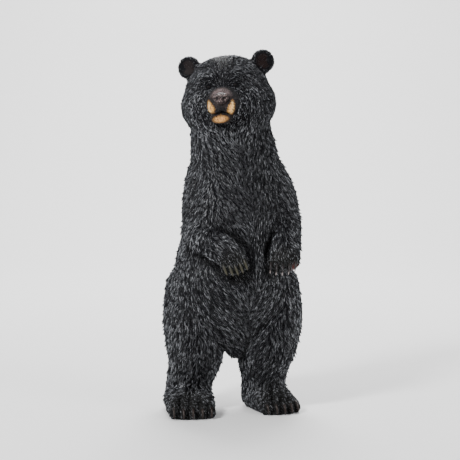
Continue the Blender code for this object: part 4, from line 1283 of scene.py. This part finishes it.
studio = {
    "key_light": {"place": (-1.1, -1.5, 1.5), "aim": (0, 0, 0.2), "power": 62, "size": 0.5},
    "fill_light": {"place": (1.5, -1.2, 0.9), "aim": (0, 0, 0.2), "power": 15, "size": 0.7},
    "top_light": {"place": (0.2, 0.5, 1.7), "aim": (0, 0, 0.2), "power": 6, "size": 0.7},
    "back_light": {"place": (0, 1.3, 1.9), "aim": (0, 1.6, 0), "power": 70, "size": 1.2},
}
worldLight = 0.34
for name, values in studio.items():
    lamp = bpy.data.lights.new(name, "AREA")
    lamp.shape, lamp.size, lamp.energy = "DISK", values["size"], values["power"]
    holder = linkObject(name, lamp)
    holder.location = values["place"]
    aim = Vector(values["aim"]) - Vector(values["place"])
    holder.rotation_euler = aim.to_track_quat("-Z", "Y").to_euler()
world = bpy.data.worlds.new("studio")
bpy.context.scene.world = world
world.use_nodes = True
setNode(world.node_tree, world.node_tree.nodes["Background"],
        {"Color": (1, 1, 1, 1), "Strength": worldLight})


def sweepFloor():
    # a floor that curves up into a wall behind: y and z run along one profile, x across it
    bend = np.radians(np.linspace(0, 90, 24))
    y = np.concatenate(([-3.0, 1.5], 1.5 + 1.0 * np.sin(bend), [2.5]))
    z = np.concatenate(([0, 0], 1.0 - 1.0 * np.cos(bend), [4.0])) - 0.00005
    x = np.array((-3.5, 3.5))
    grid = np.stack(np.broadcast_arrays(x[None], y[:, None], z[:, None]), axis=2)
    n = len(y)
    row = np.arange(n - 1)[:, None] * 2
    quads = np.hstack((row, row + 1, row + 3, row + 2))
    return fillMesh("floor", grid.reshape(-1, 3), [quads])


floorMaterial, floorTree, floorShader = newPaint("pale_floor", 0.5)
floorNoise = addNode(floorTree, "TexNoise", {"Scale": 6.0, "Detail": 3.0})["Fac"]
setNode(floorTree, floorShader, {"Roughness": 0.9, "Base Color": twoColours(
    floorTree, floorNoise, (0.86, 0.86, 0.86, 1), (0.9, 0.9, 0.9, 1), (0.0, 1.0))})
floorMesh = sweepFloor()
floorMesh.materials.append(floorMaterial)
floor = linkObject("floor", floorMesh)

camera = {"place": (-0.0030, -1.6473, 0.32), "down": 4.1, "lens": 116.4}
lens = bpy.data.cameras.new("camera")
lens.lens, lens.sensor_width = camera["lens"], 36
viewer = linkObject("camera", lens)
viewer.location = camera["place"]
viewer.rotation_euler = (math.radians(90 - camera["down"]), 0, 0)
bpy.context.scene.camera = viewer
print("studio ready")
